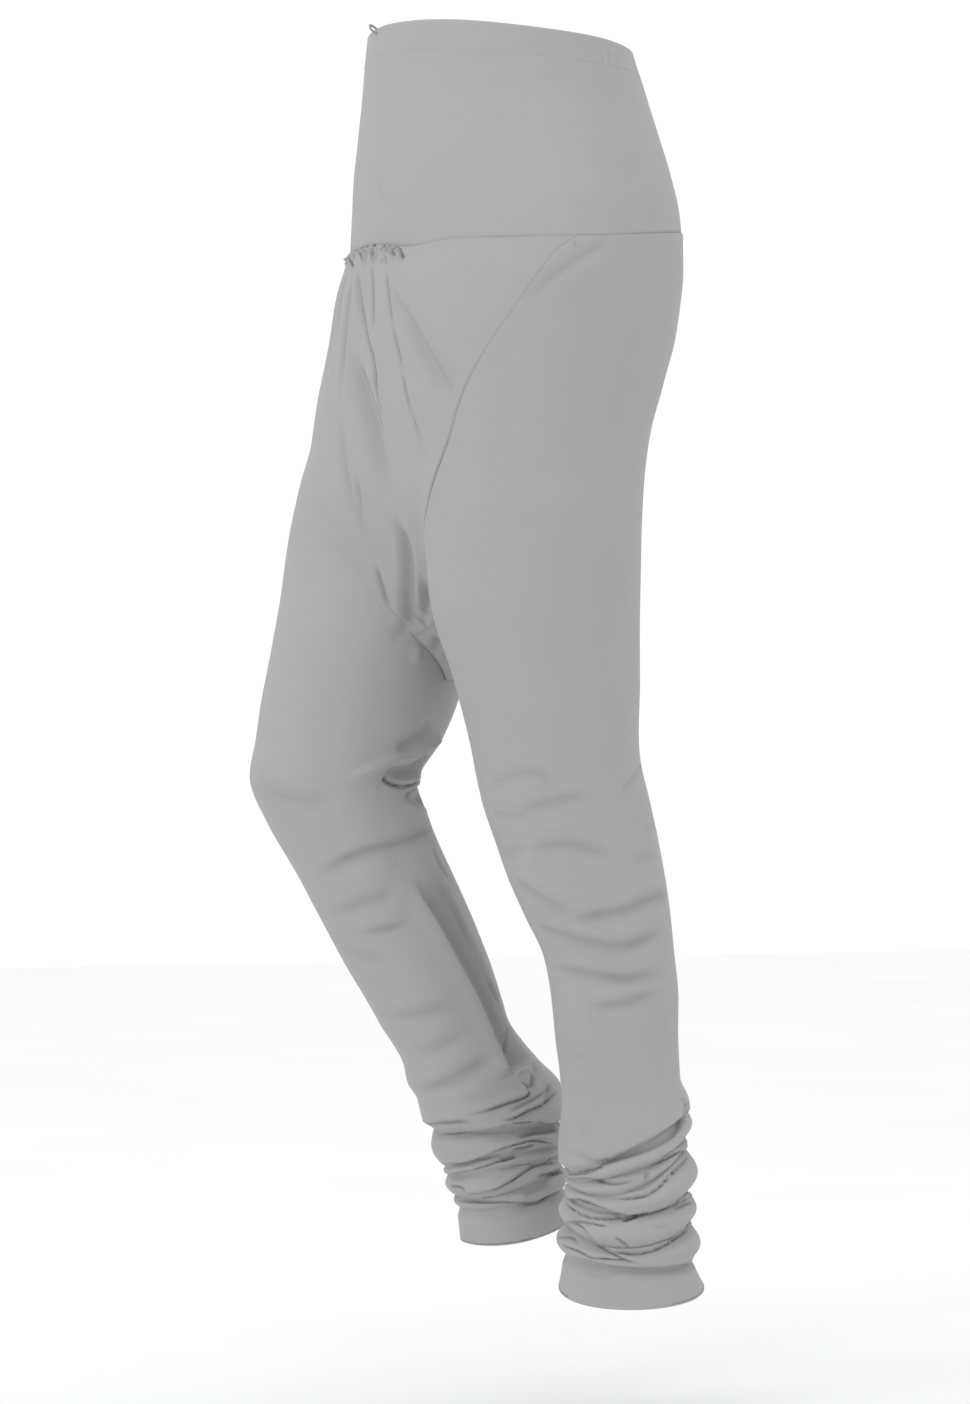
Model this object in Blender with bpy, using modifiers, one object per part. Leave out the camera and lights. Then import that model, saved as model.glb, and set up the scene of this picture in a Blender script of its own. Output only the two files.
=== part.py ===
# Churidar pants: fitted belt, gathered front and back panels, gusset and two
# legs whose extra length sits in rolls above the ankles.
# Frame: metres, +Z up, front of the garment toward -Y, wearer's left toward +X,
# origin at the centre of the waist. The tables below are in millimetres.
import math

import bmesh
import bpy
from mathutils import Vector

MM = 0.001
COLLECTION = "churidar_pants"

# Driving sizes (mm)
WALL = 1.2                 # modelled cloth wall
SEAM_GAP = 0.3             # clearance between pieces at a seam
PANEL_SETBACK = 0.5        # how far a panel's sides stay inside their seams
CROTCH_SETBACK = 1.3       # the same for the gusset's sides, where the walls meet square
GUSSET_SETBACK = 0.6       # the same at its front and back edges
CASING_DEPTH = 24.0        # turned-in top of the belt
CASING_GAP = 3.4           # middle of the belt's wall to middle of its turned-in top
LOOP_CORD = 2.2            # drawstring cord
GATHERS = 10               # gathers across the middle of each gathered panel
GATHER_SPAN = 76.0         # half-width of the gathered stretch
GATHER_RISE = 2.6          # height of a gather just below the belt
GATHER_RUN_IN = 14.0       # drop below the belt at which they are full
GATHER_FADE = 95.0         # length over which the gathers die away
EVEN_OUT = 60.0            # drop over which rows leave the belt's slant
CREASE_IN = 2.0            # how far a crease lies inside the leg's section
ROLL_OUT = 0.34            # rise of a roll for its height, from crease to crest
ROLL_MOST = 9.0            # most that a roll rises
OVERHANG = 6.0             # rise of the cloth just above the first crease

# Mesh counts
BELT_COLUMNS = 48
LEG_COLUMNS = 22
FRONT_COLUMNS = 46
BACK_COLUMNS = 28
GUSSET_COLUMNS = 8
DENSE = 6                  # samples laid down for each column kept

# Belt sections: z, centre y, half-breadth, half-depth
BELT = [
    (10, 0, 124, 93),
    (-8, 0, 125, 94.5),
    (-48, 5, 133, 100),
    (-78, 8, 143, 106),
    (-108, 11, 154, 111),
    (-138, 13, 164, 115),
    (-166, 13, 170, 117),
]
# Level of the waist edge and of the belt's seam: middle of the side, tilt, sag
WAIST_LEVEL = (-9.0, -7.5, 1.5)
SEAM_LEVEL = (-164.0, 6.0, 9.0)

# Leg sections: z, centre x (outward), centre y, half-breadth, half-depth
LEFT_LEG = [
    (-166, 0, 13, 170, 117),
    (-190, 20, 9, 153, 115),
    (-228, 40, 4, 132, 110),
    (-265, 57, -1, 113, 101),
    (-300, 70, -5, 98, 92),
    (-335, 80, -6, 88, 85),
    (-365, 88, -5.5, 82, 80),
    (-424, 85, -2, 77, 77),
    (-482, 81, 8, 68, 68),
    (-540, 77, 17, 60, 61),
    (-570, 75, 25, 56, 62),
    (-600, 72, 35, 54, 60.5),
    (-628, 71, 43.5, 52, 58.7),
    (-657, 70, 53, 50, 54.5),
    (-686, 69, 62, 47, 49.5),
    (-716, 68, 67, 45, 48),
    (-745, 67, 69, 42, 46),
    (-775, 66, 72, 40, 45),
    (-850, 64, 78, 40, 45.5),
    (-907, 63, 79, 39, 48),
    (-945, 62, 85, 41, 61),
]
RIGHT_LEG = [
    (-166, 0, 13, 170, 117),
    (-190, 20, 7, 153, 115),
    (-228, 40, -1, 132, 110),
    (-265, 57, -14, 113, 101),
    (-300, 70, -27, 98, 92),
    (-335, 80, -40, 88, 85),
    (-365, 88, -51, 82, 79),
    (-435, 86, -65, 77, 77),
    (-496, 84, -80, 68, 75),
    (-527, 82, -90, 62, 71),
    (-557, 80, -102, 57, 64),
    (-588, 79, -91, 55, 62),
    (-633, 76, -68, 52, 59),
    (-664, 74, -53, 50, 58),
    (-694, 72, -39, 48, 56),
    (-725, 70, -25, 46, 52),
    (-741, 69, -18, 45, 50),
    (-755, 68, -8.5, 44, 50.5),
    (-771, 67, 3, 43, 53),
    (-786, 66, 12, 42, 57),
    (-800, 65, 17.5, 41, 52),
    (-820, 65, 20, 41, 48),
    (-850, 64, 24, 40, 43),
    (-880, 62, 32, 39, 40),
    (-912, 60, 35.5, 40, 40),
]

# Seam stations from the belt to the crotch, angles in degrees round each leg
# (0 outer side, -90 front, 90 back): left z, its front seam, its back seam,
# right z, its front seam, its back seam
STATIONS = [
    (-166, -12, 72, -166, -12, 72),
    (-176, -17, 74, -176, -17, 74),
    (-190, -22.5, 76, -190, -22.5, 76),
    (-215, -31.5, 80, -215, -31.5, 80),
    (-245, -41.5, 84, -245, -41.5, 84),
    (-275, -50.5, 88, -277, -51, 88),
    (-305, -60, 91, -310, -62, 91),
    (-332, -71.5, 94, -340, -76, 95),
    (-352, -85, 97, -365, -100, 99),
    (-371, -103, 102, -388, -128, 105),
    (-392, -119, 109, -410, -152, 114),
    (-410, -130.5, 118, -432, -170, 123),
    (-428, -142, 128, -449, -184, 130),
    (-446, -153, 139, -462, -198, 134),
    (-462, -163, 150, -472, -208, 139),
    (-475, -170, 165, -478, -213, 143),
    (-486, -177, 183, -482, -216, 144),
]
GUSSET_START = 12          # station of the gusset's front edge
GUSSET_END = 12            # station of the gusset's back edge
# Route of the drawstring's loop: x, how far it stands off its seat, z
LOOP_ROUTE = [
    (-6.0, 0.0, -13.0),
    (-5.6, 0.6, -8.5),
    (-5.0, 1.6, -3.5),
    (-4.2, 2.2, 1.5),
    (-2.6, 1.2, 5.2),
    (-0.4, -0.6, 6.6),
    (1.8, -1.4, 5.4),
    (3.2, -0.9, 2.2),
    (3.8, 0.1, -2.2),
    (4.2, 0.2, -7.5),
    (4.4, 0.0, -12.0),
]
STRAIGHT_FROM = 9          # past this station the bridge between legs straightens

# Inseam angle below the crotch: z, angle
LEFT_INSEAM = [(-486, -177), (-700, -180), (-945, -180)]
RIGHT_INSEAM = [
    (-482, -216), (-540, -200), (-580, -190), (-622, -185), (-658, -193),
    (-702, -199), (-774, -208), (-850, -200), (-912, -196),
]
LEFT_LEVELS = [-508, -532, -558, -584, -610, -636, -662, -690, -718, -745, -768]
RIGHT_LEVELS = [-505, -528, -546, -562, -582, -606, -632, -660, -690, -720, -748]

# Creases round the ankles: level at the front edge, the facing side, the back
# edge and the hidden side
LEFT_CREASES = [
    (-841, -829, -797, -800),
    (-848, -843, -819, -834),
    (-853, -857, -827, -849),
    (-861, -873, -859, -862),
    (-881, -898, -882, -884),
    (-904, -912, -910, -899),
]
RIGHT_CREASES = [
    (-811, -800, -796, -800),
    (-823, -820, -812, -817),
    (-833, -831, -824, -828),
    (-845, -842, -834, -839),
    (-857, -851, -843, -850),
    (-868, -863, -853, -860),
    (-878, -877, -868, -874),
]
LEFT_HEM = (-928, -943, -931, -914)
RIGHT_HEM = (-907, -906, -894, -903)
LEFT_FACING = -20.0        # angle of the side that the crease table calls facing
RIGHT_FACING = -160.0
LEFT_TURN = 1.0            # front edge lies before the facing side (+) or after (-)
RIGHT_TURN = -1.0


def slopes(xs, ys):
    """Slopes of a smooth curve through the points, flat where it turns."""
    found = []
    for i in range(len(xs)):
        if i == 0:
            found.append((ys[1] - ys[0]) / (xs[1] - xs[0]))
        elif i == len(xs) - 1:
            found.append((ys[-1] - ys[-2]) / (xs[-1] - xs[-2]))
        else:
            before = (ys[i] - ys[i - 1]) / (xs[i] - xs[i - 1])
            after = (ys[i + 1] - ys[i]) / (xs[i + 1] - xs[i])
            same_way = before * after > 0
            found.append(2 * before * after / (before + after) if same_way else 0.0)
    return found


class Table:
    """Rows of a table read as smooth curves against their first column."""

    def __init__(self, rows):
        ordered = sorted(rows)
        self.xs = [row[0] for row in ordered]
        self.columns = [[row[k] for row in ordered] for k in range(1, len(ordered[0]))]
        self.slopes = [slopes(self.xs, column) for column in self.columns]

    def __call__(self, x):
        xs = self.xs
        x = min(max(x, xs[0]), xs[-1])
        i = 0
        while i < len(xs) - 2 and x > xs[i + 1]:
            i += 1
        width = xs[i + 1] - xs[i]
        t = (x - xs[i]) / width
        h00 = (1 + 2 * t) * (1 - t) ** 2
        h10 = t * (1 - t) ** 2
        h01 = t * t * (3 - 2 * t)
        h11 = t * t * (t - 1)
        return [
            h00 * c[i] + h10 * width * m[i] + h01 * c[i + 1] + h11 * width * m[i + 1]
            for c, m in zip(self.columns, self.slopes)
        ]


def level(rule, angle):
    """Height of a slanted edge at an angle round the body."""
    side, tilt, sag = rule
    s = math.sin(angle)
    return side + tilt * s + sag * s * s


class Leg:
    """One leg: side is +1 for the left and -1 for the right."""

    def __init__(self, side, sections, inseam, creases, hem, facing, turn):
        self.side = side
        self.sections = Table(sections)
        self.inseam = Table(inseam)
        self.creases = creases
        self.hem = hem
        self.facing = math.radians(facing)
        self.turn = turn

    def point(self, z, angle, out=0.0):
        x, y, a, b = self.sections(z)
        c, s = math.cos(angle), math.sin(angle)
        normal = Vector((c / a, s / b, 0)).normalized()
        across = self.side * (x + a * c + out * normal.x)
        return Vector((across, y + b * s + out * normal.y, z))

    def tangent(self, z, angle, turn):
        a, b = self.sections(z)[2:]
        c, s = math.cos(angle), math.sin(angle)
        return Vector((-self.side * a * s, b * c, 0)).normalized() * turn

    def round_level(self, four, angle):
        """Height at an angle of a line given at four sides of the leg."""
        front, face, back, hidden = four
        psi = (angle - self.facing) * self.turn
        mean = (front + face + back + hidden) / 4
        return (
            mean
            + (face - hidden) / 2 * math.cos(psi)
            + (back - front) / 2 * math.sin(psi)
            + (face + hidden - front - back) / 4 * math.cos(2 * psi)
        )


LEFT = Leg(1, LEFT_LEG, LEFT_INSEAM, LEFT_CREASES, LEFT_HEM, LEFT_FACING, LEFT_TURN)
RIGHT = Leg(-1, RIGHT_LEG, RIGHT_INSEAM, RIGHT_CREASES, RIGHT_HEM, RIGHT_FACING,
            RIGHT_TURN)


def top_level(angle, z, z_top):
    """Level of a row near the belt: it follows the seam, then evens out."""
    share = max(0.0, 1 - (z_top - z) / EVEN_OUT)
    return z + (level(SEAM_LEVEL, angle) - z_top) * share


def resample(points, count, ends=0.0, warp=None):
    """Points at even steps of length along a line, its ends cut back."""
    lengths = [0.0]
    for p, q in zip(points, points[1:]):
        lengths.append(lengths[-1] + (q - p).length)
    total = lengths[-1]
    result = []
    i = 0
    for k in range(count + 1):
        t = k / count
        t = warp(t) if warp else t
        want = ends + (total - 2 * ends) * t
        while i < len(lengths) - 2 and lengths[i + 1] < want:
            i += 1
        step = lengths[i + 1] - lengths[i]
        f = (want - lengths[i]) / step if step > 0 else 0.0
        result.append(points[i].lerp(points[i + 1], f))
    return result


def leg_row(leg, z, start, end, top=None):
    """Sampled line round a leg from one seam to the other."""
    count = LEG_COLUMNS * DENSE
    row = []
    for k in range(count + 1):
        angle = math.radians(start + (end - start) * k / count)
        height = z if top is None else top_level(angle, z, top)
        row.append(leg.point(height, angle))
    return row


def bridge_row(index, front):
    """Sampled line from the left seam to the right one over front or back."""
    zl, fl, bl, zr, fr, br = STATIONS[index]
    turn = -1 if front else 1
    halves = []
    for leg, z, angle in ((LEFT, zl, fl if front else bl), (RIGHT, zr, fr if front else br)):
        extreme = -90.0 if front else 90.0
        beyond = (angle - extreme) * turn
        last = angle if beyond > 0 else extreme
        steps = max(1, int(abs(last - angle) / 3))
        line = []
        for k in range(steps + 1):
            a = math.radians(angle + (last - angle) * k / steps)
            line.append(leg.point(top_level(a, z, STATIONS[0][0]), a))
        halves.append((line, leg.tangent(z, math.radians(last), turn)))
    (left, t0), (right, t1) = halves
    p0, p1 = left[-1], right[-1]
    chord = p1 - p0
    reach = chord.length
    span = len(STATIONS) - 1 - STRAIGHT_FROM
    ease = min(1.0, max(0.0, (index - STRAIGHT_FROM) / span))
    t0 = t0.lerp(chord.normalized(), ease)
    t1 = t1.lerp(-chord.normalized(), ease)
    middle = []
    for k in range(1, 24):
        t = k / 24
        h00 = (1 + 2 * t) * (1 - t) ** 2
        h10 = t * (1 - t) ** 2
        h01 = t * t * (3 - 2 * t)
        h11 = t * t * (t - 1)
        middle.append(p0 * h00 + t0 * reach * h10 + p1 * h01 - t1 * reach * h11)
    return left + middle + right[::-1]


def gather(point, below, front):
    """Push a point of a gathered panel in or out along the gathers."""
    if abs(point.x) > GATHER_SPAN:
        return point
    edge = 1 - (point.x / GATHER_SPAN) ** 4
    rise = GATHER_RISE * edge * math.sin(min(1.0, below / GATHER_RUN_IN) * math.pi / 2)
    rise *= math.exp(-below / GATHER_FADE)
    wave = math.cos(point.x / GATHER_SPAN * math.pi * GATHERS / 2)
    return point + Vector((0, rise * wave * (-1 if front else 1), 0))


def middle_dense(t):
    """Columns closer together in the middle of a row."""
    u = 2 * t - 1
    return (0.45 * u + 0.55 * u ** 3) / 2 + 0.5


def panel(indices, count, front, ends, gathered, first_gap, last_gap):
    """Rows of a panel between the legs, shortened at its first and last seam."""
    rows = []
    for index in indices:
        warp = middle_dense if gathered else None
        row = resample(bridge_row(index, front), count, ends, warp)
        if gathered:
            below = STATIONS[0][0] - STATIONS[index][0]
            row = [gather(p, below, front) for p in row]
        rows.append(row)
    for row, following, gap in ((rows[0], rows[1], first_gap), (rows[-1], rows[-2], last_gap)):
        for k, p in enumerate(row):
            step = following[k] - p
            row[k] = p + step.normalized() * gap
    return rows


def leg_rows(leg, levels, is_left):
    """Open rows down to the crotch, then closed rows down to the hem."""
    offset = 0 if is_left else 3
    rows = []
    for index, station in enumerate(STATIONS):
        z, start, end = station[offset:offset + 3]
        dense = leg_row(leg, z, start, end, STATIONS[0][0])
        ends = 0.0 if index == len(STATIONS) - 1 else SEAM_GAP / 2
        rows.append(resample(dense, LEG_COLUMNS, ends))
    rows[0] = [p + (q - p).normalized() * SEAM_GAP / 2 for p, q in zip(rows[0], rows[1])]
    closed_from = len(rows) - 1
    for z in levels:
        start = leg.inseam(z)[0]
        rows.append(resample(leg_row(leg, z, start, start + 360), LEG_COLUMNS))
    rows.extend(roll_rows(leg, levels[-1]))
    return rows, closed_from


def roll_rows(leg, z_above):
    """Rows of the rolls round the ankle: a crest, a crease, and so on, then a cuff."""
    above = (z_above,) * 4
    first = leg.creases[0]
    last = leg.creases[-1]
    lines = []
    for share, rise in ((0.35, 0.1), (0.65, 0.45), (0.87, 1.0)):
        lines.append((above, first, share, OVERHANG * rise, False))
    for upper, lower in zip(leg.creases, leg.creases[1:]):
        lines.append((upper, lower, 0.0, -CREASE_IN, False))
        lines.append((upper, lower, 0.5, -CREASE_IN, True))
    lines.append((last, leg.hem, 0.0, -CREASE_IN, False))
    lines.append((last, leg.hem, 0.4, 0.5, False))
    lines.append((last, leg.hem, 1.0, 0.5, False))
    rows = []
    for upper, lower, share, out, rolled in lines:
        start = math.radians(leg.inseam((sum(upper) + sum(lower)) / 8)[0])
        row = []
        for k in range(LEG_COLUMNS + 1):
            angle = start + 2 * math.pi * k / LEG_COLUMNS
            high = leg.round_level(upper, angle)
            low = leg.round_level(lower, angle)
            rise = min(ROLL_MOST, ROLL_OUT * (high - low)) if rolled else 0.0
            row.append(leg.point(high + (low - high) * share, angle, out + rise))
        rows.append(row)
    return rows


def belt_rows():
    """Closed rows from the seam up to the waist edge, over it and down inside."""
    sections = Table(BELT)
    rows = []

    def ring(share, out, drop):
        row = []
        for k in range(BELT_COLUMNS + 1):
            angle = 2 * math.pi * k / BELT_COLUMNS
            low = level(SEAM_LEVEL, angle) + SEAM_GAP / 2
            high = level(WAIST_LEVEL, angle)
            z = low + (high - low) * share - drop
            y, a, b = sections(z)
            c, s = math.cos(angle), math.sin(angle)
            normal = Vector((c / a, s / b, 0)).normalized()
            row.append(Vector((a * c, y + b * s, z)) + normal * out)
        return row

    for share in (0.0, 0.25, 0.5, 0.75):
        rows.append(ring(share, 0.0, 0.0))
    rows.append(ring(1.0, 0.0, CASING_GAP / 2))
    rows.append(ring(1.0, -0.15 * CASING_GAP, CASING_GAP / 6))
    rows.append(ring(1.0, -0.5 * CASING_GAP, 0.0))
    rows.append(ring(1.0, -0.85 * CASING_GAP, CASING_GAP / 6))
    rows.append(ring(1.0, -CASING_GAP, CASING_GAP / 2))
    rows.append(ring(1.0, -CASING_GAP, CASING_DEPTH * 0.8))
    rows.append(ring(1.0, -CASING_GAP * 0.55, CASING_DEPTH))
    return rows


def paint(name, colour):
    """Cloth material of one piece."""
    material = bpy.data.materials.new(name)
    material.use_nodes = True
    shader = material.node_tree.nodes["Principled BSDF"]
    shader.inputs["Base Color"].default_value = (*colour, 1.0)
    shader.inputs["Roughness"].default_value = 0.92
    shader.inputs["Metallic"].default_value = 0.0
    return material


def finish(name, mesh, colour, collection):
    """Object of one piece in the garment's collection."""
    obj = bpy.data.objects.new(name, mesh)
    collection.objects.link(obj)
    mesh.materials.append(paint(name + "_cloth", colour))
    mesh.shade_smooth()
    return obj


def cloth(name, rows, colour, collection, closed_from=None):
    """Skin through rows of points, made solid; rows close from closed_from on."""
    bm = bmesh.new()
    grid = []
    for index, row in enumerate(rows):
        points = row
        if closed_from is not None and index >= closed_from:
            points = row[:-1]
        verts = [bm.verts.new(p * MM) for p in points]
        if len(points) < len(row):
            verts.append(verts[0])
        grid.append(verts)
    for upper, lower in zip(grid, grid[1:]):
        for k in range(len(upper) - 1):
            bm.faces.new((upper[k], lower[k], lower[k + 1], upper[k + 1]))
    bmesh.ops.recalc_face_normals(bm, faces=bm.faces)
    mesh = bpy.data.meshes.new(name)
    bm.to_mesh(mesh)
    bm.free()
    obj = finish(name, mesh, colour, collection)
    solid = obj.modifiers.new("wall", "SOLIDIFY")
    solid.thickness = WALL * MM
    solid.offset = 0.0
    solid.use_even_offset = True
    return obj


def drawstring_loop(colour, collection):
    """Loop of the drawstring that stands out at the middle of the waist's front."""
    seat = BELT[1][1] - BELT[1][3] - WALL / 2 - LOOP_CORD / 2 - SEAM_GAP
    route = [(x, seat - out, z) for x, out, z in LOOP_ROUTE]
    curve = bpy.data.curves.new("drawstring_route", "CURVE")
    curve.dimensions = "3D"
    curve.bevel_depth = LOOP_CORD / 2 * MM
    curve.bevel_resolution = 2
    curve.use_fill_caps = True
    spline = curve.splines.new("POLY")
    spline.points.add(len(route) - 1)
    for point, (x, y, z) in zip(spline.points, route):
        point.co = (x * MM, y * MM, z * MM, 1.0)
    obj = bpy.data.objects.new("drawstring_loop", curve)
    collection.objects.link(obj)
    curve.materials.append(paint("drawstring_cord", colour))
    return obj


def main():
    for obj in list(bpy.data.objects):
        bpy.data.objects.remove(obj, do_unlink=True)
    collection = bpy.data.collections.new(COLLECTION)
    bpy.context.scene.collection.children.link(collection)
    grey = (0.392, 0.392, 0.384)
    belt_grey = (0.434, 0.434, 0.425)
    cord_grey = (0.36, 0.36, 0.35)
    half = SEAM_GAP / 2

    cloth("belt", belt_rows(), belt_grey, collection, closed_from=0)
    for leg, levels, name in ((LEFT, LEFT_LEVELS, "left_leg"), (RIGHT, RIGHT_LEVELS, "right_leg")):
        rows, closed_from = leg_rows(leg, levels, leg is LEFT)
        cloth(name, rows, grey, collection, closed_from)

    front_rows = range(0, GUSSET_START + 1)
    back_rows = range(0, GUSSET_END + 1)
    cloth("front_panel", panel(front_rows, FRONT_COLUMNS, True, PANEL_SETBACK, True, half,
                               half), grey, collection)
    cloth("back_panel", panel(back_rows, BACK_COLUMNS, False, PANEL_SETBACK, True, half,
                              half), grey, collection)
    last = len(STATIONS)
    under = panel(range(GUSSET_START, last), GUSSET_COLUMNS, True, CROTCH_SETBACK, False,
                  GUSSET_SETBACK, 0.0)
    behind = panel(range(GUSSET_END, last), GUSSET_COLUMNS, False, CROTCH_SETBACK, False,
                   GUSSET_SETBACK, 0.0)
    cloth("crotch_gusset", under + behind[-2::-1], grey, collection)
    drawstring_loop(cord_grey, collection)


main()
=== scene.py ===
import math

import bpy
import numpy as np
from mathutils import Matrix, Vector


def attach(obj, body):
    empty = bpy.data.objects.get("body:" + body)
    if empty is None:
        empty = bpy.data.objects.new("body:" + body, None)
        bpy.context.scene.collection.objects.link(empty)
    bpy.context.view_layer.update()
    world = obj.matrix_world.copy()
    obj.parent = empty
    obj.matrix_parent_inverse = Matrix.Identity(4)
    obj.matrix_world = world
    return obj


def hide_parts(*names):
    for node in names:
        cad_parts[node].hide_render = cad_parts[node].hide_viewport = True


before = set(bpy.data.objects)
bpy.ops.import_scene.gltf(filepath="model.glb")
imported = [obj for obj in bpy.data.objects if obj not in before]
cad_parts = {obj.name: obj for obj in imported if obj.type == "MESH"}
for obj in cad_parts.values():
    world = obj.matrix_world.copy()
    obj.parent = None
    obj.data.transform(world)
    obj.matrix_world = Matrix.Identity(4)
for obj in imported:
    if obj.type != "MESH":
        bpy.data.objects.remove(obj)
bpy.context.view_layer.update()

MM = 0.001

# Sizes, in mm
# Belt: z, centre y, half-breadth, half-depth
BELT = [
    (10, 0, 124, 93),
    (-8, 0, 125, 94.5),
    (-48, 4.2, 133, 101.6),
    (-78, 7.4, 143, 107.2),
    (-108, 10.2, 154, 112.6),
    (-138, 12.6, 164, 115.8),
    (-166, 13, 170, 117),
]
WAIST_LEVEL = (-12.0, -9.5, 4.0)
SEAM_LEVEL = (-164.0, 6.0, 9.0)
SEAM_DIP = (-66.0, 4.6, 11.0)       # angle, depth and half-width of the dip by the gathers
CASING_DEPTH = 24.0
CASING_GAP = 3.4

# Legs: z, centre x (outward), centre y, half-breadth, half-depth
LEFT_LEG = [
    (-166, 0, 13, 170, 117),
    (-190, 20, 9, 153, 115),
    (-228, 40, 4, 132, 110),
    (-265, 57, -1, 113, 101),
    (-300, 70, -5, 98, 92),
    (-335, 80, -6, 88, 85),
    (-365, 88, -5.5, 82, 80),
    (-424, 85, -2, 77, 77),
    (-482, 81, 8, 68, 68),
    (-540, 77, 17, 60, 61),
    (-570, 75, 25, 56, 62),
    (-600, 72, 35, 54, 60.5),
    (-628, 71, 43.5, 52, 58.7),
    (-657, 70, 53, 50, 54.5),
    (-686, 69, 62, 47, 49.5),
    (-716, 68, 67, 45, 48),
    (-745, 67, 69, 42, 46),
    (-775, 66, 72, 40, 45),
    (-850, 64, 78, 40, 45.5),
    (-907, 63, 79, 39, 48),
    (-945, 62, 85, 41, 61),
]
RIGHT_LEG = [
    (-166, 0, 13, 170, 117),
    (-190, 20, 7, 153, 115),
    (-228, 40, -1, 132, 110),
    (-265, 57, -14, 113, 101),
    (-300, 70, -27, 98, 92),
    (-335, 80, -40, 88, 85),
    (-365, 88, -51, 82, 79),
    (-435, 86, -65, 77, 77),
    (-496, 84, -80, 68, 75),
    (-527, 82, -90, 62, 71),
    (-557, 80, -102, 57, 64),
    (-588, 79, -91, 55, 62),
    (-633, 76, -68, 52, 59),
    (-664, 74, -53, 50, 58),
    (-694, 72, -39, 48, 56),
    (-725, 70, -25, 46, 52),
    (-741, 69, -18, 45, 50),
    (-755, 68, -8.5, 44, 50.5),
    (-771, 67, 3, 43, 53),
    (-786, 66, 12, 42, 57),
    (-800, 65, 17.5, 41, 52),
    (-820, 65, 22.6, 41, 50.6),
    (-850, 64, 27, 40, 46),
    (-880, 62, 34, 39, 42),
    (-912, 60, 36, 40, 40.5),
]
# Seams between belt and crotch: left z, front and back seam angle, then the right leg's
STATIONS = [
    (-166, -7.5, 72, -166, -7.5, 72),
    (-176, -13.7, 74, -176, -13.7, 74),
    (-190, -18.8, 76, -190, -18.8, 76),
    (-215, -26.5, 80, -215, -26.5, 80),
    (-245, -37.2, 84, -245, -37.2, 84),
    (-275, -48, 88, -277, -48.5, 88),
    (-305, -57.5, 91, -310, -60, 91),
    (-332, -70.5, 94, -340, -75, 95),
    (-352, -85, 97, -365, -100, 99),
    (-371, -103, 102, -388, -128, 105),
    (-392, -119, 109, -410, -152, 114),
    (-410, -130.5, 118, -432, -170, 123),
    (-428, -142, 128, -449, -184, 130),
    (-446, -153, 139, -462, -198, 134),
    (-462, -163, 150, -472, -208, 139),
    (-475, -170, 165, -478, -213, 143),
    (-486, -177, 183, -482, -216, 144),
]
GUSSET_START = 12
STRAIGHT_FROM = 9
EVEN_OUT = 60.0
LEFT_INSEAM = [(-486, -177), (-700, -180), (-945, -180)]
RIGHT_INSEAM = [
    (-482, -216), (-540, -200), (-580, -190), (-622, -185), (-658, -193),
    (-702, -199), (-774, -208), (-850, -200), (-912, -196),
]
# Rolls round the ankles: level at front edge, facing side, back edge, hidden side
LEFT_ROLLS = [
    (-841, -829, -797, -800),
    (-848, -843, -819, -834),
    (-853, -857, -827, -849),
    (-861, -873, -859, -862),
    (-881, -898, -882, -884),
    (-904, -912, -910, -899),
]
RIGHT_ROLLS = [
    (-822, -822, -818, -821),
    (-851, -840, -835, -838),
    (-857, -850, -842, -846),
    (-872, -868, -850, -858),
    (-881, -878, -866, -872),
]
LEFT_HEM = (-928, -943, -931, -914)
RIGHT_HEM = (-907, -906, -894, -903)
LEFT_TOP, RIGHT_TOP = -768.0, -748.0      # the rolls begin below these levels
CREASE_IN = 1.6
ROLL_OUT = 0.32
LEFT_ROLL_MOST, RIGHT_ROLL_MOST = 9.0, 5.5      # the furthest that a roll stands out
OVERHANG = 5.5

# Hem of a leg, turned in: height above the hem line and distance out of the cloth
HEM_TURN = [
    (1.6, 0.0), (0.7, -0.02), (0.15, -0.25), (0.0, -0.65), (0.2, -1.05), (0.8, -1.3),
    (3.0, -1.4), (8.0, -1.5), (14.0, -1.6),
]
# Stand-off of the columns nearest a seam
SEAM_COLUMNS = [0.0, 0.7, 1.4, 2.2, 3.2, 4.6, 6.4, 8.6]
# Drawstring loop: x, distance out of the waist's front and height above its edge
LOOP_ROUTE = [(-7.4, -1.6, -3.4), (-7.8, 0.8, -0.6), (-8.0, 3.6, 1.4), (-6.8, 6.4, 2.2), (-5.2, 7.0, 0.2),
              (-4.2, 4.8, -3.0), (-4.2, 1.4, -4.6), (-4.6, -1.6, -5.4)]
LOOP_CORD = 1.7
SEAM_TUCK = 0.8                            # how far an edge sinks into its seam
SEAM_SOFT = 1.1                            # half-width of that groove
PUFF = 2.6                                 # how far the gathers stand out below the belt

# Camera at the photograph's angle
# Level lens at the photograph's angle, 70 degrees round from the garment's front
AZIMUTH = math.radians(70)
AIM = Vector((-3.3, -9.1, -498.0))
STAND_OFF = 3600.0
LENS, SENSOR = 123.6, 36.0
WIDE, HIGH = 970, 1404
BACK = Vector((math.sin(AZIMUTH), -math.cos(AZIMUTH), 0.0))
ACROSS = Vector((math.cos(AZIMUTH), math.sin(AZIMUTH), 0.0))


def place_camera():
    """Camera at the photograph's angle and distance."""
    lens = bpy.data.cameras.new("photo_angle")
    lens.lens = LENS
    lens.sensor_width = SENSOR
    lens.sensor_fit = "AUTO"
    camera = bpy.data.objects.new("photo_angle", lens)
    bpy.context.scene.collection.objects.link(camera)
    camera.location = (AIM + BACK * STAND_OFF) * MM
    camera.rotation_euler = BACK.to_track_quat("Z", "Y").to_euler()
    bpy.context.scene.camera = camera
    return camera


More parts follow.
